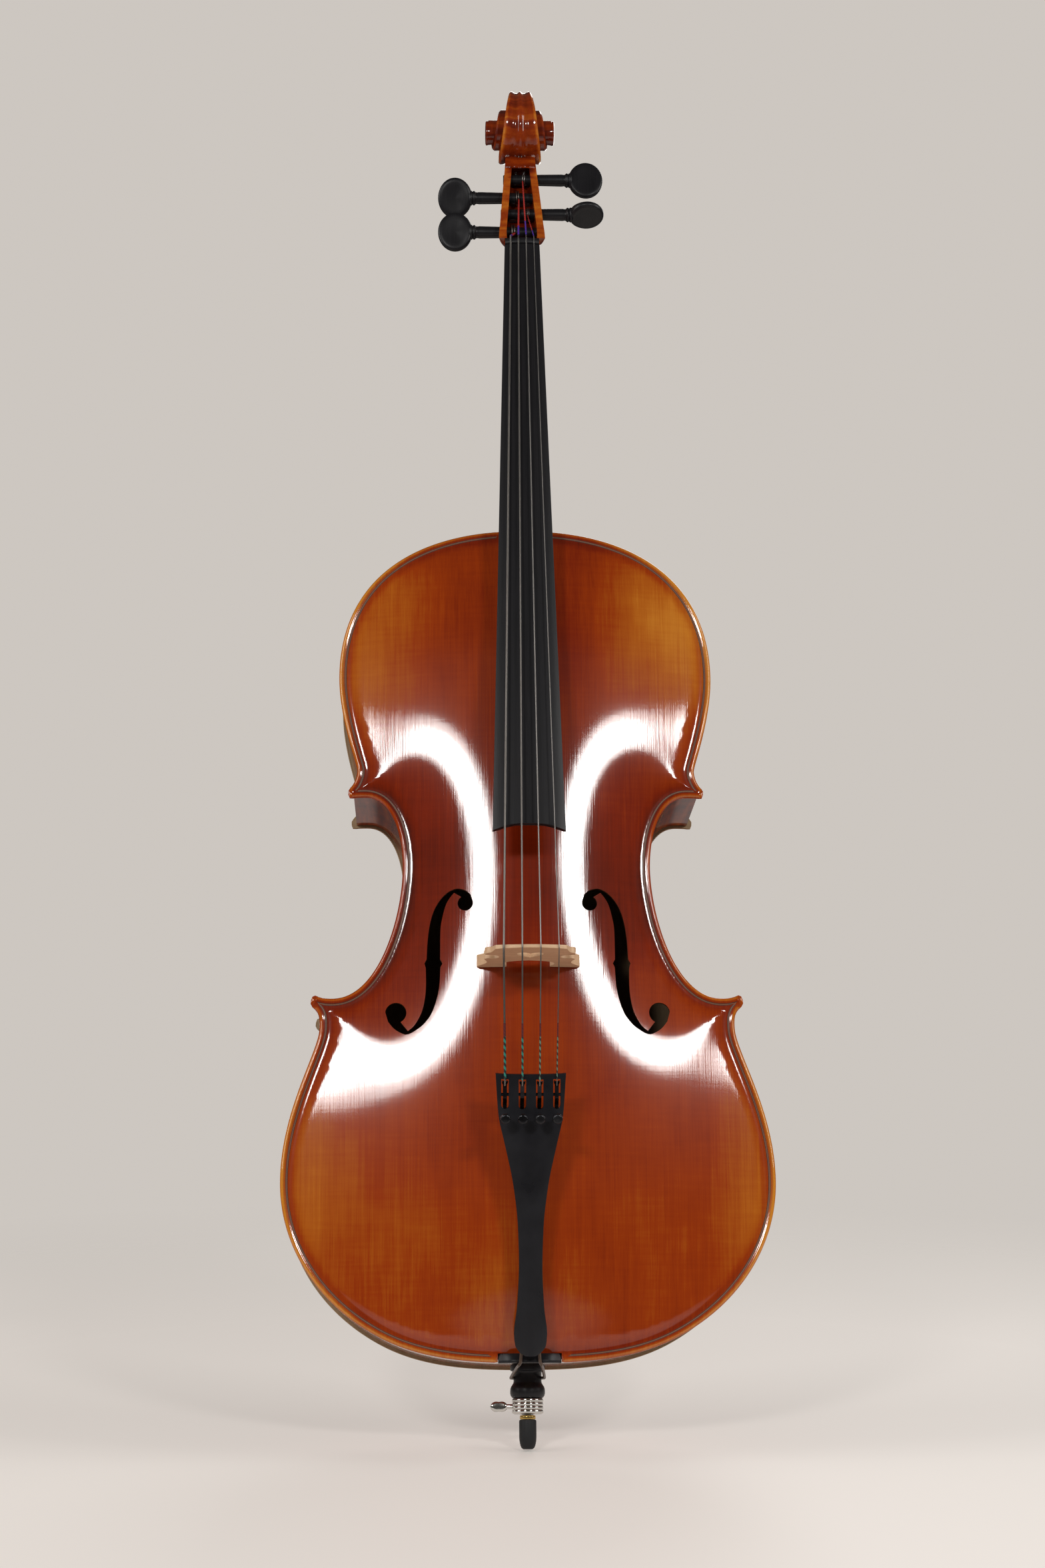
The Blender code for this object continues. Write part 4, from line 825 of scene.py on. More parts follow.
def make_ribs():
    depth = GLUE_Y - GAP
    runs = {
        "lower": trimmed(bout(LOWER_BOUT, 8), GAP / 2, 3.5),
        "centre": trimmed(bout(CENTRE_BOUT, 8), 3.5, 3.5),
        "upper": trimmed(bout(UPPER_BOUT, 8), 3.5, GAP / 2),
    }
    for level, line in runs.items():
        for name, mirror in (("bass", -1), ("treble", 1)):
            rings, along = [], []
            near, far = offset(line, OVERHANG), offset(line, OVERHANG + RIB_THICKNESS)
            reach = lengths_along(line)
            levels = np.linspace(-depth, depth, 7)
            for (ax, az), (bx, bz), run in zip(near, far, reach):
                if level == "lower":
                    ax, bx = max(ax, 13.5), max(bx, 13.5)
                if level == "upper" and az > 740:
                    ax, bx = max(ax, 13.3), max(bx, 13.3)
                ring = [(mirror * ax, y, az + BODY_BASE) for y in levels]
                ring += [(mirror * bx, y, bz + BODY_BASE) for y in levels[::-1]]
                rings.append(ring)
                along += [run * MM + mirror * 3.0] * len(ring)
            shape = Shape().add(*grid(rings))
            nodes = [f"{level}_rib_{name}"]
            made = piece(f"rib_{level}_{name}", shape, [RIB_MAPLE], nodes=nodes, sharp=40)
            store(made, "along", along)


# ---------------------------------------------------------------- the neck, pegbox and scroll
def board_edge(z):
    return BOARD_NUT_Y - (BOARD_NUT_Z - z) * BOARD_SLOPE


def board_half(z):
    share = (BOARD_NUT_Z - z) / (BOARD_NUT_Z - BOARD_END_Z)
    return BOARD_NUT_HALF + share * (BOARD_END_HALF - BOARD_NUT_HALF)


def camber(x, half):
    return math.sqrt(BOARD_CAMBER**2 - x * x) - math.sqrt(BOARD_CAMBER**2 - half * half)


def smooth_table(rows, at):
    """Each column of a table, eased between its rows (Catmull-Rom in the row's own key, without overshoot)."""
    rows = np.array(rows, float)
    key, found = rows[:, 0], []
    slopes = np.diff(rows, axis=0) / np.diff(key)[:, None]
    lean = np.zeros_like(rows)
    for k in range(1, len(rows) - 1):
        before, after = slopes[k - 1], slopes[k]
        same = before * after > 0
        lean[k][same] = (2 * before * after / np.where(same, before + after, 1))[same]
    lean[0], lean[-1] = slopes[0], slopes[-1]
    for value in at:
        k = int(np.clip(np.searchsorted(key, value) - 1, 0, len(rows) - 2))
        width = key[k + 1] - key[k]
        t = (value - key[k]) / width
        found.append(
            (2 * t**3 - 3 * t**2 + 1) * rows[k] + (t**3 - 2 * t**2 + t) * width * lean[k]
            + (3 * t**2 - 2 * t**3) * rows[k + 1] + (t**3 - t**2) * width * lean[k + 1]
        )
    return found


def neck_ring(z, front, back, half_front, half_back, squareness, flute=0.0, points=41):
    ring = []
    for angle in np.linspace(0, math.pi, points):
        share = abs(math.sin(angle)) ** (2 / squareness)
        half = half_front + (half_back - half_front) * share
        x = half * math.cos(angle)
        across = min(1.0, abs(x) / (half_back * 0.86))
        hollow = flute * math.sin(math.pi * across) ** 2 * (share > 0.8)
        ring.append((x, front + (back - front) * share - hollow, z))
    return ring


def scroll_radius(angle):
    return SCROLL_RADIUS * 0.558 ** (max(0.0, angle - 100.0) / 360)


SCROLL_WIDTHS = [
    (-30, 13.4), (0, 13), (60, 10.6), (95, 9.6), (180, 15.3), (270, 20.5), (330, 20.0), (360, 19.0),
    (450, 19.5),
    (540, 23), (630, 26), (720, 28), (810, 31), (900, EYE_HALF - 0.6), (930, EYE_HALF - 0.6),
]


def make_scroll():
    """The volute: a fluted rim that winds in, with hollowed sides that step out towards the eye."""
    angles = np.arange(0, 901, 7.5)
    widths = dict(zip(angles, [row[1] for row in smooth_table(SCROLL_WIDTHS, angles)]))
    eye_radius, sink = 10.8, 3.2
    shape = Shape()
    index = {}

    def spot(angle, side, x, radius):
        a = math.radians(angle)
        shape.points.append((side * x, SCROLL_Y + radius * math.cos(a), SCROLL_Z + radius * math.sin(a)))
        return len(shape.points) - 1

    def section(angle):
        """(x, radius) from the middle of the rim, over its edge, to the foot of the next turn's wall."""
        half, radius = widths[angle], scroll_radius(angle)
        base = half * 10 / 19 if angle < 360 else widths[angle - 360] - sink
        base = min(base, half - 1.4)
        fade = float(np.interp(angle, (0, 250, 330, 360), (1, 1, 0.35, 0.0)))
        depth = min(2.6, 0.2 * half) * fade
        chamfer = min(1.7, 0.13 * half)
        inner = max(scroll_radius(angle + 360), eye_radius)
        made = [base * share for share in (0, 0.12, 0.25, 0.4, 0.6, 0.8, 1.0)]
        made += [base + (half - chamfer - base) * share for share in (0.35, 0.7, 1.0)]
        found = []
        for x in made:
            across = x / (half - chamfer)
            dip = depth * math.sin(math.pi * across**0.8) ** 2 if across < 1 else 0.0
            found.append((x, radius - dip))
        found.append((half, radius - chamfer))
        span = radius - chamfer - inner
        for share, drop in ((0.12, 0.25), (0.35, 0.55), (0.6, 0.85), (0.85, 1.0), (1.0, 1.0)):
            found.append((half - sink * drop, radius - chamfer - span * share))
        return found

    first_wall = 6
    for angle in angles:
        found = section(angle)
        for side in (1, -1):
            for k, (x, radius) in enumerate(found):
                if angle > 360 and k < first_wall:
                    continue
                if side < 0 and k == 0:
                    index[angle, side, k] = index[angle, 1, k]
                    continue
                index[angle, side, k] = spot(angle, side, x, radius)
    last = len(found) - 1
    for one, two in zip(angles, angles[1:]):
        start = 0 if two <= 360 else first_wall
        for side in (1, -1):
            for k in range(start, last):
                corners = [index[at, side, row] for at, row in ((one, k), (one, k + 1), (two, k + 1), (two, k))]
                shape.faces.append(tuple(corners[::side]))
    cap = [index[0.0, 1, k] for k in range(last, 0, -1)] + [index[0.0, -1, k] for k in range(0, last + 1)]
    cap += [index[360.0, -1, k] for k in range(first_wall - 1, 0, -1)]
    cap += [index[360.0, 1, k] for k in range(0, first_wall)]
    shape.faces.append(tuple(cap))
    for side in (1, -1):
        hub = spot(0, side, 12.0, 0.0)
        ring = [index[angle, side, last] for angle in angles if angle >= 540]
        for a, b in zip(ring, ring[1:]):
            shape.faces.append((a, b, hub) if side > 0 else (b, a, hub))
        end = [index[900.0, side, k] for k in range(first_wall, last + 1)] + [hub]
        shape.faces.append(tuple(end if side < 0 else end[::-1]))
    dome = [
        (0, EYE_HALF), (6.5, EYE_HALF - 0.1), (10.2, EYE_HALF - 0.3), (11.5, EYE_HALF - 0.8),
        (11.8, EYE_HALF - 1.6),
        (11.6, EYE_HALF - 2.6), (11.2, EYE_HALF - 4.2), (11.0, EYE_HALF - 7.0),
    ]
    dome += [(radius, -height) for radius, height in dome[::-1]]
    return (shape.points, shape.faces), (turned(dome, 48), sited((0, SCROLL_Y, SCROLL_Z), 90, "Y"))


def cutter(name, *shape, place=None):
    """A helper for a boolean, which carve removes."""
    return linked(name, mesh_of(name, Shape().add(*shape, place=place), merge=0.01))


def carve(target, steps):
    """Applies booleans to a piece's mesh, one after another, and removes the helpers."""
    for operation, other in steps:
        modifier = target.modifiers.new("boolean", "BOOLEAN")
        modifier.operation = operation
        modifier.solver = "EXACT"
        modifier.object = other
    graph = bpy.context.evaluated_depsgraph_get()
    made = bpy.data.meshes.new_from_object(target.evaluated_get(graph))
    target.modifiers.clear()
    old = target.data
    target.data = made
    made.name = old.name
    bpy.data.meshes.remove(old)
    for _, other in steps:
        bpy.data.objects.remove(other)


def sited(at, degrees, axis):
    """A place in the part, turned about one axis."""
    return Matrix.Translation(at) @ Matrix.Rotation(math.radians(degrees), 4, axis)


def stadium(x, half, low, high, depth):
    """A slot's cutter in the tailpiece's frame: round at its lower end."""
    arc = np.radians(np.linspace(180, 360, 15))
    outline = [(x - half, high)] + [(x + half * math.cos(a), low + half + half * math.sin(a)) for a in arc]
    outline.append((x + half, high))
    return grid([[(px, y, pz) for px, pz in outline] for y in (-depth, depth)])


def peg_radius(out):
    return 4.75 + 0.018 * (out + 20)


def make_neck(mortise_depth=6.0):
    heel_z = BODY_BASE + 752.5

    def glue_face(z):
        return board_edge(z) + BOARD_EDGE + GAP

    heel = [
        (752.5, 58.6, 13.5, 7), (759, 56.5, 13.6, 6), (767, 47, 14.5, 4), (774, 29, 16, 3.4), (781, 4, 18, 2.9),
        (789, -19, 20, 2.5), (799, -38, 21.5, 2.1), (812, -51, 22.2, 2.1), (828, -57.5, 22, 2.1),
    ]
    shaft = [(880, -52.0), (960, -42.0), (1030, -32.0), (1044, -29.8)]
    for above, back in shaft:
        heel.append((above, back, board_half(above + BODY_BASE) - 0.3, 2.1))
    rings = [neck_ring(z, -49.5, 49.5, 12.6, 12.6, 8) for z in (heel_z - mortise_depth, heel_z)]
    at = np.concatenate([np.arange(752.6, 830, 3.0), np.arange(834, 1044, 14.0), [1044]])
    for above, back, half_back, squareness in smooth_table(heel, at):
        z = above + BODY_BASE
        front = min(board_half(z) - 0.8, 22.4) if above < 850 else board_half(z) - 0.3
        rings.append(neck_ring(z, glue_face(z), back, front, half_back, squareness))
    step_z = 1044 + BODY_BASE + 6.6
    rings.append(neck_ring(step_z - 0.6, glue_face(step_z), -24.0, 17.2, 17.2, 2.4))
    pegbox = [
        (1051, -53.5, -20.0, 21.9, 17.0, 2.6), (1058, -50.6, -14.0, 21.6, 18.0, 3.4),
        (1068, -46.9, -10.6, 20.7, 18.0, 4), (1088, -39.5, -5.6, 19.2, 17.0, 4),
        (1115, -29.5, 1.5, 17.1, 15.5, 4), (1138, -21.0, 9.8, 15.2, 14.2, 4),
        (1152, -14.0, 21.0, 14.4, 13.8, 4), (1167, -8.0, 32.0, 13.4, 13.4, 5), (1184, 0.0, 36.9, 12.4, 12.4, 6),
    ]
    for row in smooth_table(pegbox, np.append(np.arange(1051, 1184, 3.5), 1184)):
        above, front, back, half_front, half_back, squareness = row
        flute = 2.2 * float(np.clip((above - 1062) / 30, 0, 1))
        rings.append(neck_ring(above + BODY_BASE, front, back, half_front, half_back, squareness, flute))
    scroll, eye = make_scroll()
    shape = Shape().add(*grid(rings))
    neck = piece("neck", shape, [NECK_MAPLE], nodes=["neck_and_scroll"])
    cavity = [
        (1050.6, -32.0, 14.2), (1056, -26.0, 14.6), (1068, -20.0, 14.0), (1088, -15.0, 12.4),
        (1115, -7.6, 10.4),
        (1139, -2.6, 8.4),
    ]
    hollow = []
    for above, floor, half in smooth_table(cavity, np.linspace(1050.6, 1139, 24)):
        corners = [(-half, -100), (half, -100), (half, floor - 5), (half - 1.6, floor - 1.2), (half - 4, floor)]
        corners += [(4 - half, floor), (1.6 - half, floor - 1.2), (-half, floor - 5)]
        hollow.append([(x, y, above + BODY_BASE) for x, y in corners])
    steps = [("UNION", cutter("scroll helper", *scroll)), ("UNION", cutter("eye helper", *eye[0], place=eye[1]))]
    steps.append(("DIFFERENCE", cutter("pegbox helper", *grid(hollow))))
    for name, (side, y, z, _, _) in PEGS.items():
        bore = [(0, 40), (peg_radius(40) + GAP, 40), (peg_radius(-40) + GAP, -40), (0, -40)]
        hole = cutter(f"bore {name}", *turned(bore, 32), place=sited((0, y, z), 90 * side, "Y"))
        steps.append(("DIFFERENCE", hole))
    carve(neck, steps)
    shaded(neck, 38)
    rounded(neck, 0.7, 48)
    points = np.empty(len(neck.data.vertices) * 3)
    neck.data.vertices.foreach_get("co", points)
    x, y, z = points.reshape(-1, 3).T / MM
    # how much lighter the varnish is: wear on the scroll's chamfers and the top of its rim, and painted light, as
    # marked below
    worn = np.full(len(x), -0.04)
    turn = np.degrees(np.arctan2(z - SCROLL_Z, y - SCROLL_Y)) % 360
    away = np.hypot(y - SCROLL_Y, z - SCROLL_Z)
    radius = np.array([scroll_radius(angle) for angle in turn])
    half = np.array([row[1] for row in smooth_table(SCROLL_WIDTHS, turn)])
    rim = (np.abs(away - radius) < 4.0) & (z > 1215)
    worn += 0.30 * (rim & (np.abs(np.abs(x) - half) < 2.2))
    worn += 0.14 * (rim & (turn < 130) & (np.abs(x) < 5))
    # darker on the volute's sides inside its rim
    worn -= 0.08 * ((away < radius - 5) & (z > 1215))
    # painted shade: darker at the upper end of the pegbox and in the throat under the scroll
    worn -= 0.30 * ((z > 1196) & (z < 1226) & (y < 5) & (np.abs(x) < 10))
    # lighter on the front of the pegbox's cheeks: partly wear on their rims, partly a painted highlight
    cheek = (z > 1118) & (z < 1212) & (np.abs(x) > 9) & (y < -3.0 - (1255 - z) * 0.33)
    worn += 0.26 * cheek
    # a darker band round the neck by the nut
    worn -= 0.20 * ((z < 1125) & (z > 1105))
    store(neck, "worn", worn)


# ---------------------------------------------------------------- fingerboard, nut, saddle, bridge
def make_board():
    rings = []
    solid, hollowed = np.linspace(1100, 830, 12), np.linspace(810, 528, 14)
    for z in np.concatenate([[BOARD_NUT_Z - GAP], solid, [829, 827.5], hollowed, [BOARD_END_Z]]):
        half, edge = board_half(z), board_edge(z)
        hollow, last = z < 828, z == BOARD_END_Z
        top = [(x, edge - camber(x, half)) for x in np.linspace(-half, half, 33)]
        depth = 6.5 if hollow else 0.0
        under = [(half, 0.0)]
        for share in np.linspace(0.80, -0.80, 17):
            under.append((half * share, depth * 1.25 * math.cos(share / 0.8 * math.pi / 2) ** 0.8))
        under.append((-half, 0.0))
        ring = top + [(x, edge + BOARD_EDGE - lift) for x, lift in under]
        rings.append([(x, y, z + (5.0 * (1 - (x / half) ** 2) if last else 0)) for x, y in ring])
    piece("board", Shape().add(*grid(rings)), [EBONY], nodes=["fingerboard"], bevel=0.6, segments=3)


def nut_top(x):
    return BOARD_NUT_Y - camber(x, BOARD_NUT_HALF + 0.1) - 1.2


def make_nut():
    half = BOARD_NUT_HALF - 0.35
    across = np.unique(np.concatenate([np.linspace(-half, half, 25)] + [
        [at - 1.3 * r, at - 0.6 * r, at, at + 0.6 * r, at + 1.3 * r] for r, at, _, _ in STRINGS.values()
    ]))
    rings = []
    for share in np.linspace(0, 1, 9):
        z = BOARD_NUT_Z + 0.05 + 5.8 * share
        round_off = 0.9 * (2 * share - 1) ** 4
        ring = []
        for x in across:
            y = nut_top(x) + round_off
            for radius, at, _, _ in STRINGS.values():
                if abs(x - at) < 1.3 * radius:
                    y += 0.7 * radius * (1 - (abs(x - at) / (1.3 * radius)) ** 2)
            ring.append((x, y, z))
        base = board_edge(z) + BOARD_EDGE - 0.1
        rings.append(ring + [(half, base, z), (-half, base, z)])
    piece("string_nut", Shape().add(*grid(rings)), [EBONY], nodes=["nut"], bevel=0.25)


def make_saddle():
    low, high = BODY_BASE - 0.2, BODY_BASE + 7.9
    rings = []
    base, crest = -(GLUE_Y - GAP) - 0.4, -74.5
    for x in np.linspace(-27.2, 27.2, 33):
        share = abs(x) / 27.2
        top = crest + 9.8 * max(0.0, (share - 0.45) / 0.55) ** 2.0
        ring = [(x, base, low), (x, base, high), (x, top + 5.2, high)]
        for turn in np.linspace(0, math.pi / 2, 7):
            z = high - (high - low - 2.2) * math.sin(turn) ** 1.3
            ring.append((x, top + 3.6 - 3.5 * math.sin(turn), z))
        ring += [(x, top + 0.4, low + 0.5), (x, top + 1.4, low)]
        rings.append(ring)
    piece("gut_saddle", Shape().add(*grid(rings)), [EBONY], nodes=["saddle"], bevel=0.3)


def bridge_top(x):
    return BRIDGE_CROWN_Y + x * x / (2 * BRIDGE_CROWN_RADIUS)


def make_bridge():
    def belly(x):
        z = np.array([BRIDGE_FACE_Z + dz - BODY_BASE for dz in (0, 5, 11)])
        return -(GLUE_Y + float(heights(np.full(3, float(x)), z, ARCH_TOP)[0].max())) - 0.1

    feet = {x: belly(x) for x in (19.0, 25.0, 32.0, 39.0, 45.5)}
    crown = [(x, bridge_top(x)) for x in np.linspace(0, 30.5, 9)]
    side = [
        (31.5, bridge_top(30.5) + 4), (34.2, -155.0), (37.5, -151.5), (39.2, -146.0), (37.0, -142.5),
        (31.5, -141.5),
        (27.5, -137.5), (27.0, -131.0), (30.5, -127.0), (36.0, -127.5), (39.5, -124.0), (38.0, -117.0),
        (37.0, -107.0),
        (40.5, -98.0), (45.3, feet[45.5] - 5.5),
    ]
    foot = [(45.3, feet[45.5]), (39.0, feet[39.0]), (32.0, feet[32.0]), (25.0, feet[25.0]), (19.2, feet[19.0])]
    under = [(19.6, feet[19.0] - 6.0), (22.5, -99.0), (20.5, -108.0), (12.0, -114.5), (0.0, -117.5)]
    half = list(map(tuple, crown)) + list(map(tuple, eased(side, 4))) + foot + list(map(tuple, eased(under, 4)))
    outline = np.array(half + [(-x, y) for x, y in half[-2:0:-1]])
    heart = [
        (0, -131), (3.4, -134.2), (6.5, -138), (9.6, -141.8), (11.5, -146), (10.5, -152.5), (5.0, -153.5),
        (1.6, -151.2), (0, -148.0),
    ]
    lobe = eased(heart, 3)
    heart_loop = np.vstack([lobe, lobe[-2:0:-1] * [-1, 1]])
    xs, ys = np.meshgrid(np.arange(-44, 45, 3.0), np.arange(-176, -84, 3.0))
    extra = np.column_stack([xs.ravel(), ys.ravel()])
    extra = extra[inside(extra, outline) & ~inside(extra, heart_loop)]
    extra = extra[(distance_to(extra, outline) > 1.6) & (distance_to(extra, heart_loop) > 1.4)]
    spots, faces = triangulated([outline, heart_loop], extra)
    foot_out = feet[45.5]
    share = np.clip((foot_out - spots[:, 1]) / (foot_out - BRIDGE_CROWN_Y), 0, 1)
    swell = 0.35 * np.sin(math.pi * share)
    depth = BRIDGE_FOOT_DEPTH + share * (BRIDGE_TOP_DEPTH - BRIDGE_FOOT_DEPTH) + swell
    count = len(spots)
    shape = Shape()
    shape.points = [(x, y, BRIDGE_FACE_Z) for x, y in spots.tolist()]
    shape.points += [(x, y, BRIDGE_FACE_Z + d) for (x, y), d in zip(spots.tolist(), depth)]
    shape.faces = [tuple(face) for face in faces.tolist()]
    shape.faces += [(a + count, c + count, b + count) for a, b, c in faces.tolist()]
    shape.faces += [(b, a, a + count, b + count) for a, b in boundary(faces)]
    shape.looks = [0] * len(shape.faces)
    piece("string_bridge", shape, [BRIDGE_MAPLE], nodes=["bridge"], sharp=40, bevel=0.45)


# ---------------------------------------------------------------- pegs, strings
def peg_head():
    """A flattened disc, a little hollow on both faces, that swells towards its stem."""
    rings = []
    steps = 56
    for side in (1, -1):
        for share in (0.02, 0.2, 0.4, 0.6, 0.75, 0.86, 0.93, 0.975, 0.995)[::side]:
            ring = []
            for k in range(steps):
                angle = 2 * math.pi * k / steps
                thick = (2.5 + 1.5 * share**2) * (1 - share**9) ** 0.5
                stem = max(0.0, -math.cos(angle)) ** 3 * share**1.5 * 2.6 * (1 - share**9) ** 0.5
                along, wide = 16.4 * share * math.cos(angle), 19.4 * share * math.sin(angle)
                if math.cos(angle) < 0:
                    along *= 1 + 0.03 * math.cos(angle) ** 2
                ring.append((side * (thick + stem), wide, along))
            rings.append(ring)
    return grid(rings)


def make_pegs():
    for name, (side, y, z, turn, _) in PEGS.items():
        far_end = float(np.interp(z, (1120, 1210), (-21.6, -15.6))) - 0.4
        profile = [
            (0, 50.5), (3.6, 50.5), (4.9, 50.2), (6.2, 49.6), (6.9, 48.9), (7.15, 48.2), (7.1, 47.4),
            (6.7, 46.8),
            (6.1, 46.4), (6.6, 46.0), (6.95, 45.4), (6.95, 44.6), (6.5, 44.0), (5.9, 43.5), (5.5, 42.4),
            (peg_radius(40), 40), (peg_radius(20), 20), (peg_radius(0), 0),
            (peg_radius(far_end), far_end + 0.6),
            (peg_radius(far_end) - 0.6, far_end), (0, far_end),
        ]
        shape = Shape().add(*turned(profile, 48), place=sited((0, y, z), 90 * side, "Y"))
        lying = sited((0, 0, 0), 90 * side, "Y") @ sited((0, 0, 0), 90, "Z")
        shape.add(*peg_head(), place=sited((side * 63.4, y, z), turn, "X") @ lying)
        nodes, body = [f"peg_{name}"], f"{name}_peg"
        piece(f"tuning_peg_{name}", shape, [EBONY], body=body, nodes=nodes, sharp=30)


def string_path(name):
    radius, at_nut, at_bridge, at_tail = STRINGS[name]
    side, peg_y, peg_z, _, wind_from = PEGS[name]
    surface = TAIL_CAMBER - math.sqrt(TAIL_CAMBER**2 - at_tail**2)
    tail_end = TAIL_PLACE @ Vector((at_tail, surface + 0.8, -10.0))
    tail_edge = TAIL_PLACE @ Vector((at_tail, surface - radius - GAP, -5.0))
    over = bridge_top(at_bridge) - radius - GAP
    nut = nut_top(at_nut) - radius - GAP
    low = [tuple(tail_end), tuple(tail_edge)]
    bridge = [(at_bridge, over, BRIDGE_FACE_Z + 0.5), (at_bridge, over, BRIDGE_FACE_Z + BRIDGE_TOP_DEPTH - 0.5)]
    head = [(at_nut, nut, BOARD_NUT_Z - 0.3), (at_nut, nut, BOARD_NUT_Z + 6.6)]
    coil = []
    steps, turns = 24, 1.4
    reach = (peg_radius(0) + radius + GAP) / math.cos(math.pi / 10) + 0.05
    for k in range(int(steps * turns) + 1):
        angle = math.radians(150) + 2 * math.pi * k / steps
        x = wind_from + side * (2 * radius + 0.5) * k / steps
        coil.append((x, peg_y + reach * math.cos(angle), peg_z - reach * math.sin(angle)))
    return low, bridge, head, coil


def between(one, two, count):
    return [tuple(np.array(one) + (np.array(two) - one) * t) for t in np.linspace(0, 1, count)]


def make_strings():
    for name, (radius, *_) in STRINGS.items():
        low, bridge, head, coil = string_path(name)
        path = [low[0]] + between(low[1], bridge[0], 12) + between(bridge[1], head[0], 40)
        path += between(head[1], coil[0], 6) + coil[1:]
        core = WOUND_STEEL if name in "da" else WOUND_DARK
        shape = Shape().add(*tube(path, radius * 0.94, sides=16))
        piece(f"wire_{name}", shape, [core], nodes=[f"string_{name}"])
        tail, seat = np.array(low[1]), np.array(bridge[0])
        way = (seat - tail) / np.linalg.norm(seat - tail)
        silk = {"c": SILK_GREEN, "g": SILK_GREEN, "d": SILK_PALE, "a": SILK_GREY}[name]
        for part, start, end, look in (("tail_silk", 0.3, 37.5, silk), ("tail_mark", 37.5, 49.0, SILK_WINE)):
            run = between(tail + way * start, tail + way * end, 14)
            shape = Shape().add(*tube(run, radius + 0.10, sides=16))
            piece(f"{part}_{name}", shape, [look])
        one, two = np.array(head[1]), np.array(coil[0])
        for part, start, end, look in (("nut_silk", 0.02, 0.26, SILK_BLUE), ("peg_silk", 0.26, 0.985, SILK_RED)):
            run = between(one + (two - one) * start, one + (two - one) * end, 8)
            piece(f"{part}_{name}", Shape().add(*tube(run, radius + 0.09, sides=16)), [look])


# ---------------------------------------------------------------- tailpiece, tuners, tailgut
def tail_ring(z, half, thickness, flange):
    bend = max(half * 1.25, TAIL_CAMBER * min(1.0, half / 27))
    outer = [(x, bend - math.sqrt(bend * bend - x * x), z) for x in np.linspace(-half, half, 33)]
    hollow = half - 2.5 if half > 8 else half * 0.6
    edge = outer[0][1] + flange
    inner = [(x, bend - math.sqrt(bend * bend - x * x) + thickness, z) for x in np.linspace(hollow, -hollow, 21)]
    right, left = [(half, edge, z), (hollow, edge + 0.01, z)], [(-hollow, edge + 0.01, z), (-half, edge, z)]
    return outer + right + inner + left


def make_tailpiece():
    stations = [
        (0.0, 30.2, 5, 6.2), (36, 27.6, 5, 6.2), (60, 22.4, 5, 5.8), (95, 15.0, 5, 5.4), (130, 11.0, 6, 6.4),
        (163, 10.0, 6.5, 7), (200, 11.6, 6.5, 7), (222, 14.2, 6.5, 7), (232, 13.2, 6, 6.5), (238, 9.2, 4.8, 5),
        (241, 4.5, 3.6, 4),
    ]
    at = np.concatenate([np.arange(0, 228, 6.0), np.arange(228, 241, 1.5), [241]])
    rings = [tail_ring(-down, half, thick, flange) for down, half, thick, flange in smooth_table(stations, at)]
    shape = Shape().add(*grid(rings), place=TAIL_PLACE)
    made = piece("tail", shape, [BLACK_PLASTIC], nodes=["tailpiece"])
    steps = []
    for name, (_, _, _, x) in STRINGS.items():
        slot = cutter(f"slot {name}", *stadium(x, 3.2, -30, -4.5, 20), place=TAIL_PLACE)
        bore = turned([(0, 20), (1.8, 20), (1.8, -20), (0, -20)], 24)
        hole = cutter(f"hole {name}", *bore, place=TAIL_PLACE @ sited((x, 0, TUNER_SCREW_Z), 90, "X"))
        steps += [("DIFFERENCE", slot), ("DIFFERENCE", hole)]
    carve(made, steps)
    shaded(made, 35)
    rounded(made, 0.7, 35, 3)


def make_tuners():
    for name, (_, _, _, x) in STRINGS.items():
        surface = TAIL_CAMBER - math.sqrt(TAIL_CAMBER**2 - x * x)
        top = surface + 2.9
        outline = [
            (top, -6.5), (top, -12), (5.6, -16.5), (6.0, -21), (10.9, -27), (10.9, -40), (13, -40), (13, -26),
            (12.0, -16), (10.2, -12.5), (top + 2.6, -6.5),
        ]
        rings = [[(x + dx, y, z) for y, z in outline] for dx in (-1.7, 1.7)]
        shape = Shape().add(*grid(rings), place=TAIL_PLACE)
        for dx in (-1.95, 1.95):
            bends = ((0.75, 1.4, -9.0), (1, -0.4, -7.4), (1, -1.9, -6.2), (1, -2.6, -6.9))
            hook = [(x + dx * out, top + up, z) for out, up, z in bends]
            shape.add(*tube(eased(hook, 5), 0.62, sides=12), place=TAIL_PLACE)
        piece(
            f"lever_{name}", shape, [BLACK_METAL], body=f"{name}_tuner_lever", nodes=[f"tuner_lever_{name}"],
            sharp=30, bevel=0.35,
        )
        lift = surface * 0.35

        def knurled(radius, angle, height):
            on_the_grip = 11.0 < height + lift < 17.0
            return radius * (1 - 0.055 * (0.5 + 0.5 * math.cos(18 * angle)) ** 2) if on_the_grip else radius

        profile = [
            (0, 17.3), (2.6, 17.3), (3.5, 17.1), (4.1, 16.7), (4.35, 16.1), (4.4, 15.2), (4.4, 12.6),
            (4.3, 11.6),
            (3.9, 10.9), (3.2, 10.4), (1.9, 10.0), (1.6, 9.2), (1.45, 8.0), (1.45, -8.7), (1.1, -9.2),
            (0, -9.2),
        ]
        knob = [(radius, height - (lift if height > 0 else 0)) for radius, height in profile]
        upright = sited((x, 0, TUNER_SCREW_Z), 90, "X")
        shape = Shape().add(*turned(knob, 72, knurled), place=TAIL_PLACE @ upright)
        piece(
            f"fine_tuner_{name}", shape, [BLACK_METAL], body=f"{name}_tuner_screw", nodes=[f"tuner_screw_{name}"],
        )


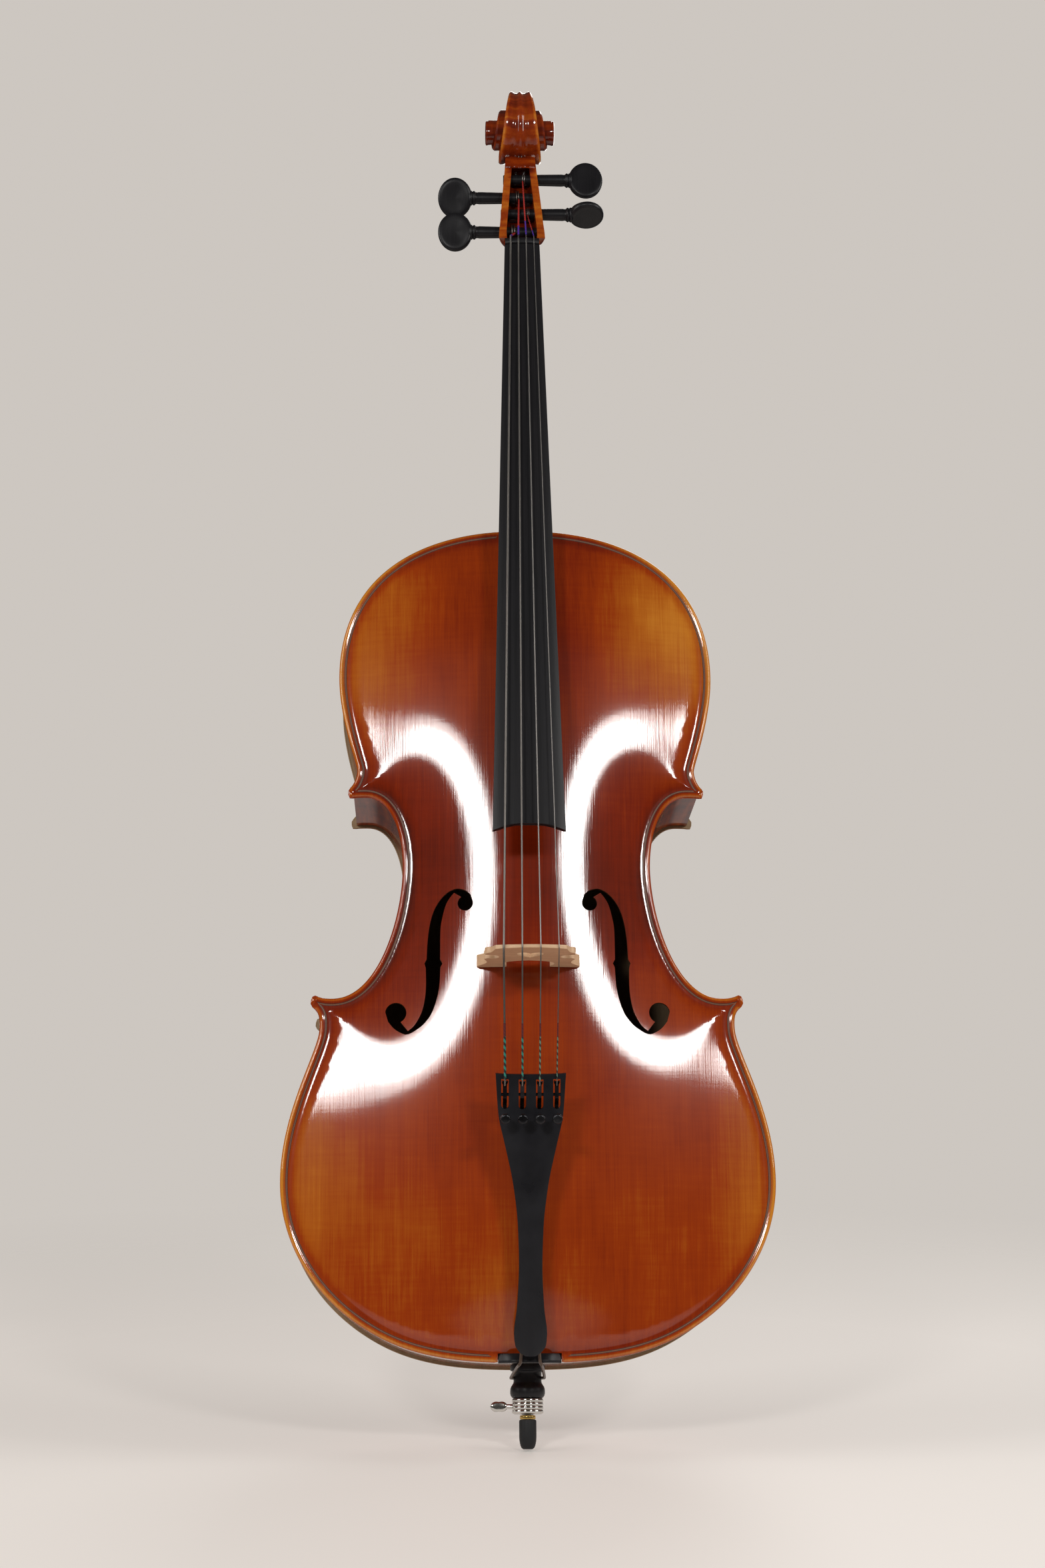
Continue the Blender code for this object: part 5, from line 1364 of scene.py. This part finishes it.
def make_tailgut():
    neck_z = BODY_BASE - 9.5
    start = TAIL_PLACE @ Vector((6.6, 9.6, -215.0))
    under = TAIL_PLACE @ Vector((7.2, 10.0, -231.0))
    leg = [
        tuple(start), tuple(under), (8.2, -77.4, BODY_BASE + 2.0), (9.0, -76.0, BODY_BASE - 1.2),
        (10.0, -72.0, BODY_BASE - 2.6), (12.6, -40.0, BODY_BASE - 6.0), (14.6, -8.0, neck_z),
    ]
    arc = [math.radians(angle) for angle in range(0, 181, 20)]
    loop = [(14.4 * math.cos(a), 14.4 * math.sin(a), neck_z) for a in arc]
    path = eased(leg + loop + [(-x, y, z) for x, y, z in leg[::-1]], 4)
    piece("gut_loop", Shape().add(*tube(path, 1.38, sides=16)), [GUT], nodes=["tailgut"])


# ---------------------------------------------------------------- endpin
def make_endpin():
    bore = 5.3
    plug = [
        (bore, 106.0), (12.35, 106.0), (12.9, 73.4), (13.1, 73.0), (15.0, 72.9), (15.2, 72.5), (15.2, 68.2),
        (15.0, 67.6),
        (13.4, 67.0), (12.6, 66.2), (12.35, 65.0), (12.35, 58.0), (12.6, 56.8), (13.5, 55.3),
        (14.6, 53.6), (15.2, 51.8),
        (15.4, 49.6), (15.3, 47.6), (14.8, 45.9), (13.9, 44.6), (12.9, 43.9), (bore, 43.9),
    ]
    piece("plug", Shape().add(*turned(plug, 72)), [EBONY], nodes=["endpin_plug"], sharp=40)
    ferrule = [(bore, 43.6), (12.8, 43.6), (13.2, 43.4)]
    for ring in range(4):
        top = 43.0 - 3.2 * ring
        groove = ((13.55, 0), (13.85, 0.5), (13.9, 1.3), (13.8, 2.0), (13.4, 2.5), (13.05, 2.8))
        ferrule += [(radius, top - drop) for radius, drop in groove]
    ferrule += [(12.4, 30.3), (12.0, 30.0), (bore, 30.0)]
    shape = Shape().add(*turned(ferrule, 72))
    made = piece("ferrule", shape, [CHROME], nodes=["endpin_ferrule"], sharp=50)
    sideways = sited((0, 0, 36.6), -90, "Y")
    hole = turned([(0, 30), (2.5, 30), (2.5, 3), (0, 3)], 32)
    carve(made, [("DIFFERENCE", cutter("screw hole", *hole, place=sideways))])
    shaded(made, 50)
    shank = [(0, 19.5), (1.6, 19.4), (2.2, 18.0), (2.2, 5.8), (1.9, 5.6), (0, 5.6)]
    shape = Shape().add(*turned(shank, 40), place=sideways)
    rings = []
    for t in np.linspace(-1, 1, 29):
        wide = math.sqrt(max(1 - t * t, 0.0004))
        waist = 1 - 0.16 * math.exp(-((t / 0.35) ** 2)) * (1 if t < 0.6 else 0)
        thick = 1.15 + 0.95 * t * t
        ring = []
        for k in range(24):
            a = 2 * math.pi * k / 24
            y, z = min(1.0, wide * 1.4) * thick * math.sin(a), 36.6 + 5.1 * wide * waist * math.cos(a)
            ring.append((-25.2 + 7.7 * t, y, z))
        rings.append(ring)
    shape.add(*grid(rings))
    piece("thumb_screw", shape, [CHROME], body="clamp_screw", nodes=["endpin_thumb_screw"])
    rod = [(0, 470.0), (4.2, 470.0), (5.0, 469.0), (5.0, 12.2), (4.8, 12.0), (0, 12.0)]
    shape = Shape().add(*turned(rod, 48))
    piece("pin_rod", shape, [ROD_STEEL], body="endpin", nodes=["endpin_rod"])
    ring = [
        (bore, 29.1), (6.4, 29.1), (6.85, 28.7), (6.95, 28.0), (6.95, 26.4), (6.85, 25.9), (6.5, 25.5),
        (bore, 25.5),
    ]
    shape = Shape().add(*turned(ring, 64))
    piece("pin_ring", shape, [BRASS], body="endpin", nodes=["endpin_ring"], sharp=50)
    tip = [
        (0, 0.0), (3.6, 0.0), (4.6, 0.3), (5.6, 1.2), (6.4, 2.8), (7.0, 5.0), (7.4, 7.4), (7.6, 10.0),
        (7.6, 23.9),
        (7.4, 24.8), (6.9, 25.2), (bore, 25.2), (bore, 11.6), (0, 11.6),
    ]
    shape = Shape().add(*turned(tip, 64))
    piece("rubber_foot", shape, [RUBBER], body="endpin", nodes=["endpin_rubber_tip"])


def dress_hidden():
    """The nodes inside the body keep their CAD shape and take a finished material."""
    inner = ("neck_block", "end_block", "corner_block", "lining", "bass_bar", "sound_post")
    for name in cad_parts:
        if name == "tuner_axle" or name.startswith(inner):
            for material_slot in bpy.data.objects[name].material_slots:
                material_slot.material = BLACK_METAL if name == "tuner_axle" else BARE_SPRUCE


# ---------------------------------------------------------------- the camera, the lights and the floor
CAMERA_AT = Vector((-0.0882, -2.6550, -0.0601))
CAMERA_LENS = 67.93
CAMERA_PITCH, CAMERA_YAW, CAMERA_ROLL = 0.2438, 0.0328, -0.0063
WALL_COLOUR = (0.61, 0.57, 0.53, 1.0)
FLOOR_SLOPE = math.radians(13.97)  # the cello leans back on its stand, so in its own frame the floor slopes


def camera_axes():
    forward = Vector((
        math.sin(CAMERA_YAW) * math.cos(CAMERA_PITCH), math.cos(CAMERA_YAW) * math.cos(CAMERA_PITCH),
        math.sin(CAMERA_PITCH),
    ))
    right = forward.cross(Vector((0, 0, 1))).normalized()
    up = right.cross(forward)
    turned_right = right * math.cos(CAMERA_ROLL) + up * math.sin(CAMERA_ROLL)
    turned_up = up * math.cos(CAMERA_ROLL) - right * math.sin(CAMERA_ROLL)
    return turned_right, turned_up, -forward


def make_camera():
    data = bpy.data.cameras.new("camera")
    data.lens = CAMERA_LENS
    data.sensor_width = 36.0
    data.clip_start, data.clip_end = 0.05, 100.0
    camera = linked("camera", data)
    place = Matrix(camera_axes()).transposed().to_4x4()
    place.translation = CAMERA_AT
    camera.matrix_world = place
    bpy.context.scene.camera = camera


def softbox(name, azimuth, elevation, distance, size, power, colour=(1.0, 0.985, 0.96), shape="ELLIPSE"):
    """An area light that faces the body's middle. Azimuth 0 is in front, and positive towards the treble."""
    target = Vector((0, -0.075, 0.47))
    a, e = math.radians(azimuth), math.radians(elevation)
    way = Vector((math.sin(a) * math.cos(e), -math.cos(a) * math.cos(e), math.sin(e)))
    data = bpy.data.lights.new(name, "AREA")
    data.shape = shape
    data.size, data.size_y = size
    data.energy = power
    data.color = colour
    light = linked(name, data)
    light.location = target + way * distance
    light.rotation_mode = "QUATERNION"
    light.rotation_quaternion = way.to_track_quat("Z", "Y")


def make_stage():
    make_camera()
    softbox("left softbox", -20.8, 12.0, 2.9, (0.68, 0.37), 11)
    softbox("left softbox middle", -20.8, 12.0, 2.88, (0.50, 0.24), 12)
    softbox("right softbox", 24.8, 13.2, 2.9, (0.62, 0.30), 10)
    softbox("right softbox middle", 24.8, 13.2, 2.88, (0.46, 0.19), 10)
    softbox("left fill", -72, 22, 2.4, (1.0, 1.6), 27, shape="RECTANGLE")
    softbox("right fill", 72, 22, 2.4, (1.0, 1.6), 27, shape="RECTANGLE")
    softbox("back light", 160, 40, 2.6, (1.4, 1.4), 16, shape="RECTANGLE")
    world = bpy.data.worlds.new("room")
    world.use_nodes = True
    bpy.context.scene.world = world
    tree = world.node_tree
    background = tree.nodes["Background"]
    background.inputs["Color"].default_value = WALL_COLOUR
    seen = tree.nodes.new("ShaderNodeLightPath").outputs["Is Camera Ray"]
    strength = tree.nodes.new("ShaderNodeMapRange")
    tree.links.new(seen, strength.inputs["Value"])
    strength.inputs["To Min"].default_value = 0.10
    strength.inputs["To Max"].default_value = 1.0
    tree.links.new(strength.outputs[0], background.inputs["Strength"])
    bpy.context.scene.view_settings.view_transform = "Standard"

    look = Look("floor", roughness=0.6)
    tree = look.tree
    where = look.node("ShaderNodeTexCoord", {}).outputs["Object"]
    reach = look.node("ShaderNodeVectorMath", {0: where}, operation="LENGTH").outputs["Value"]
    facing = look.node("ShaderNodeNewGeometry", {}).outputs["Backfacing"]
    fade = look.math("MAXIMUM", look.spread(reach, 0.7, 1.55), facing)
    look.set("Base Color", (0.62, 0.58, 0.55, 1.0))
    look.set("Emission Color", WALL_COLOUR)
    look.set("Emission Strength", 0.42)
    clear = look.node("ShaderNodeBsdfTransparent", {})
    both = look.node("ShaderNodeMixShader", {0: fade, 1: look.shader.outputs[0], 2: clear.outputs[0]})
    tree.links.new(both.outputs[0], tree.nodes["Material Output"].inputs["Surface"])
    shape = Shape()
    rings = [[(r * math.cos(a), r * math.sin(a), 0) for a in np.linspace(0, 2 * math.pi, 96, endpoint=False)]
             for r in (1, 200, 500, 900, 1600)]
    tilt = Matrix.Rotation(FLOOR_SLOPE, 4, "X")
    points, faces = grid(rings, caps=False)
    shape.add(points, [face[::-1] for face in faces], place=Matrix.Translation((0, 0, -2.0)) @ tilt)
    mesh = bpy.data.meshes.new("floor")
    mesh.from_pydata([[value * MM for value in point] for point in shape.points], [], shape.faces)
    mesh.materials.append(look.material)
    linked("floor", mesh)


def main():
    make_stage()
    make_plates()
    purfling("top_purfling", -1, ARCH_TOP)
    purfling("back_purfling", 1, ARCH_BACK)
    make_ribs()
    make_neck()
    make_board()
    make_nut()
    make_saddle()
    make_bridge()
    make_pegs()
    make_strings()
    make_tailpiece()
    make_tuners()
    make_tailgut()
    make_endpin()
    dress_hidden()


main()
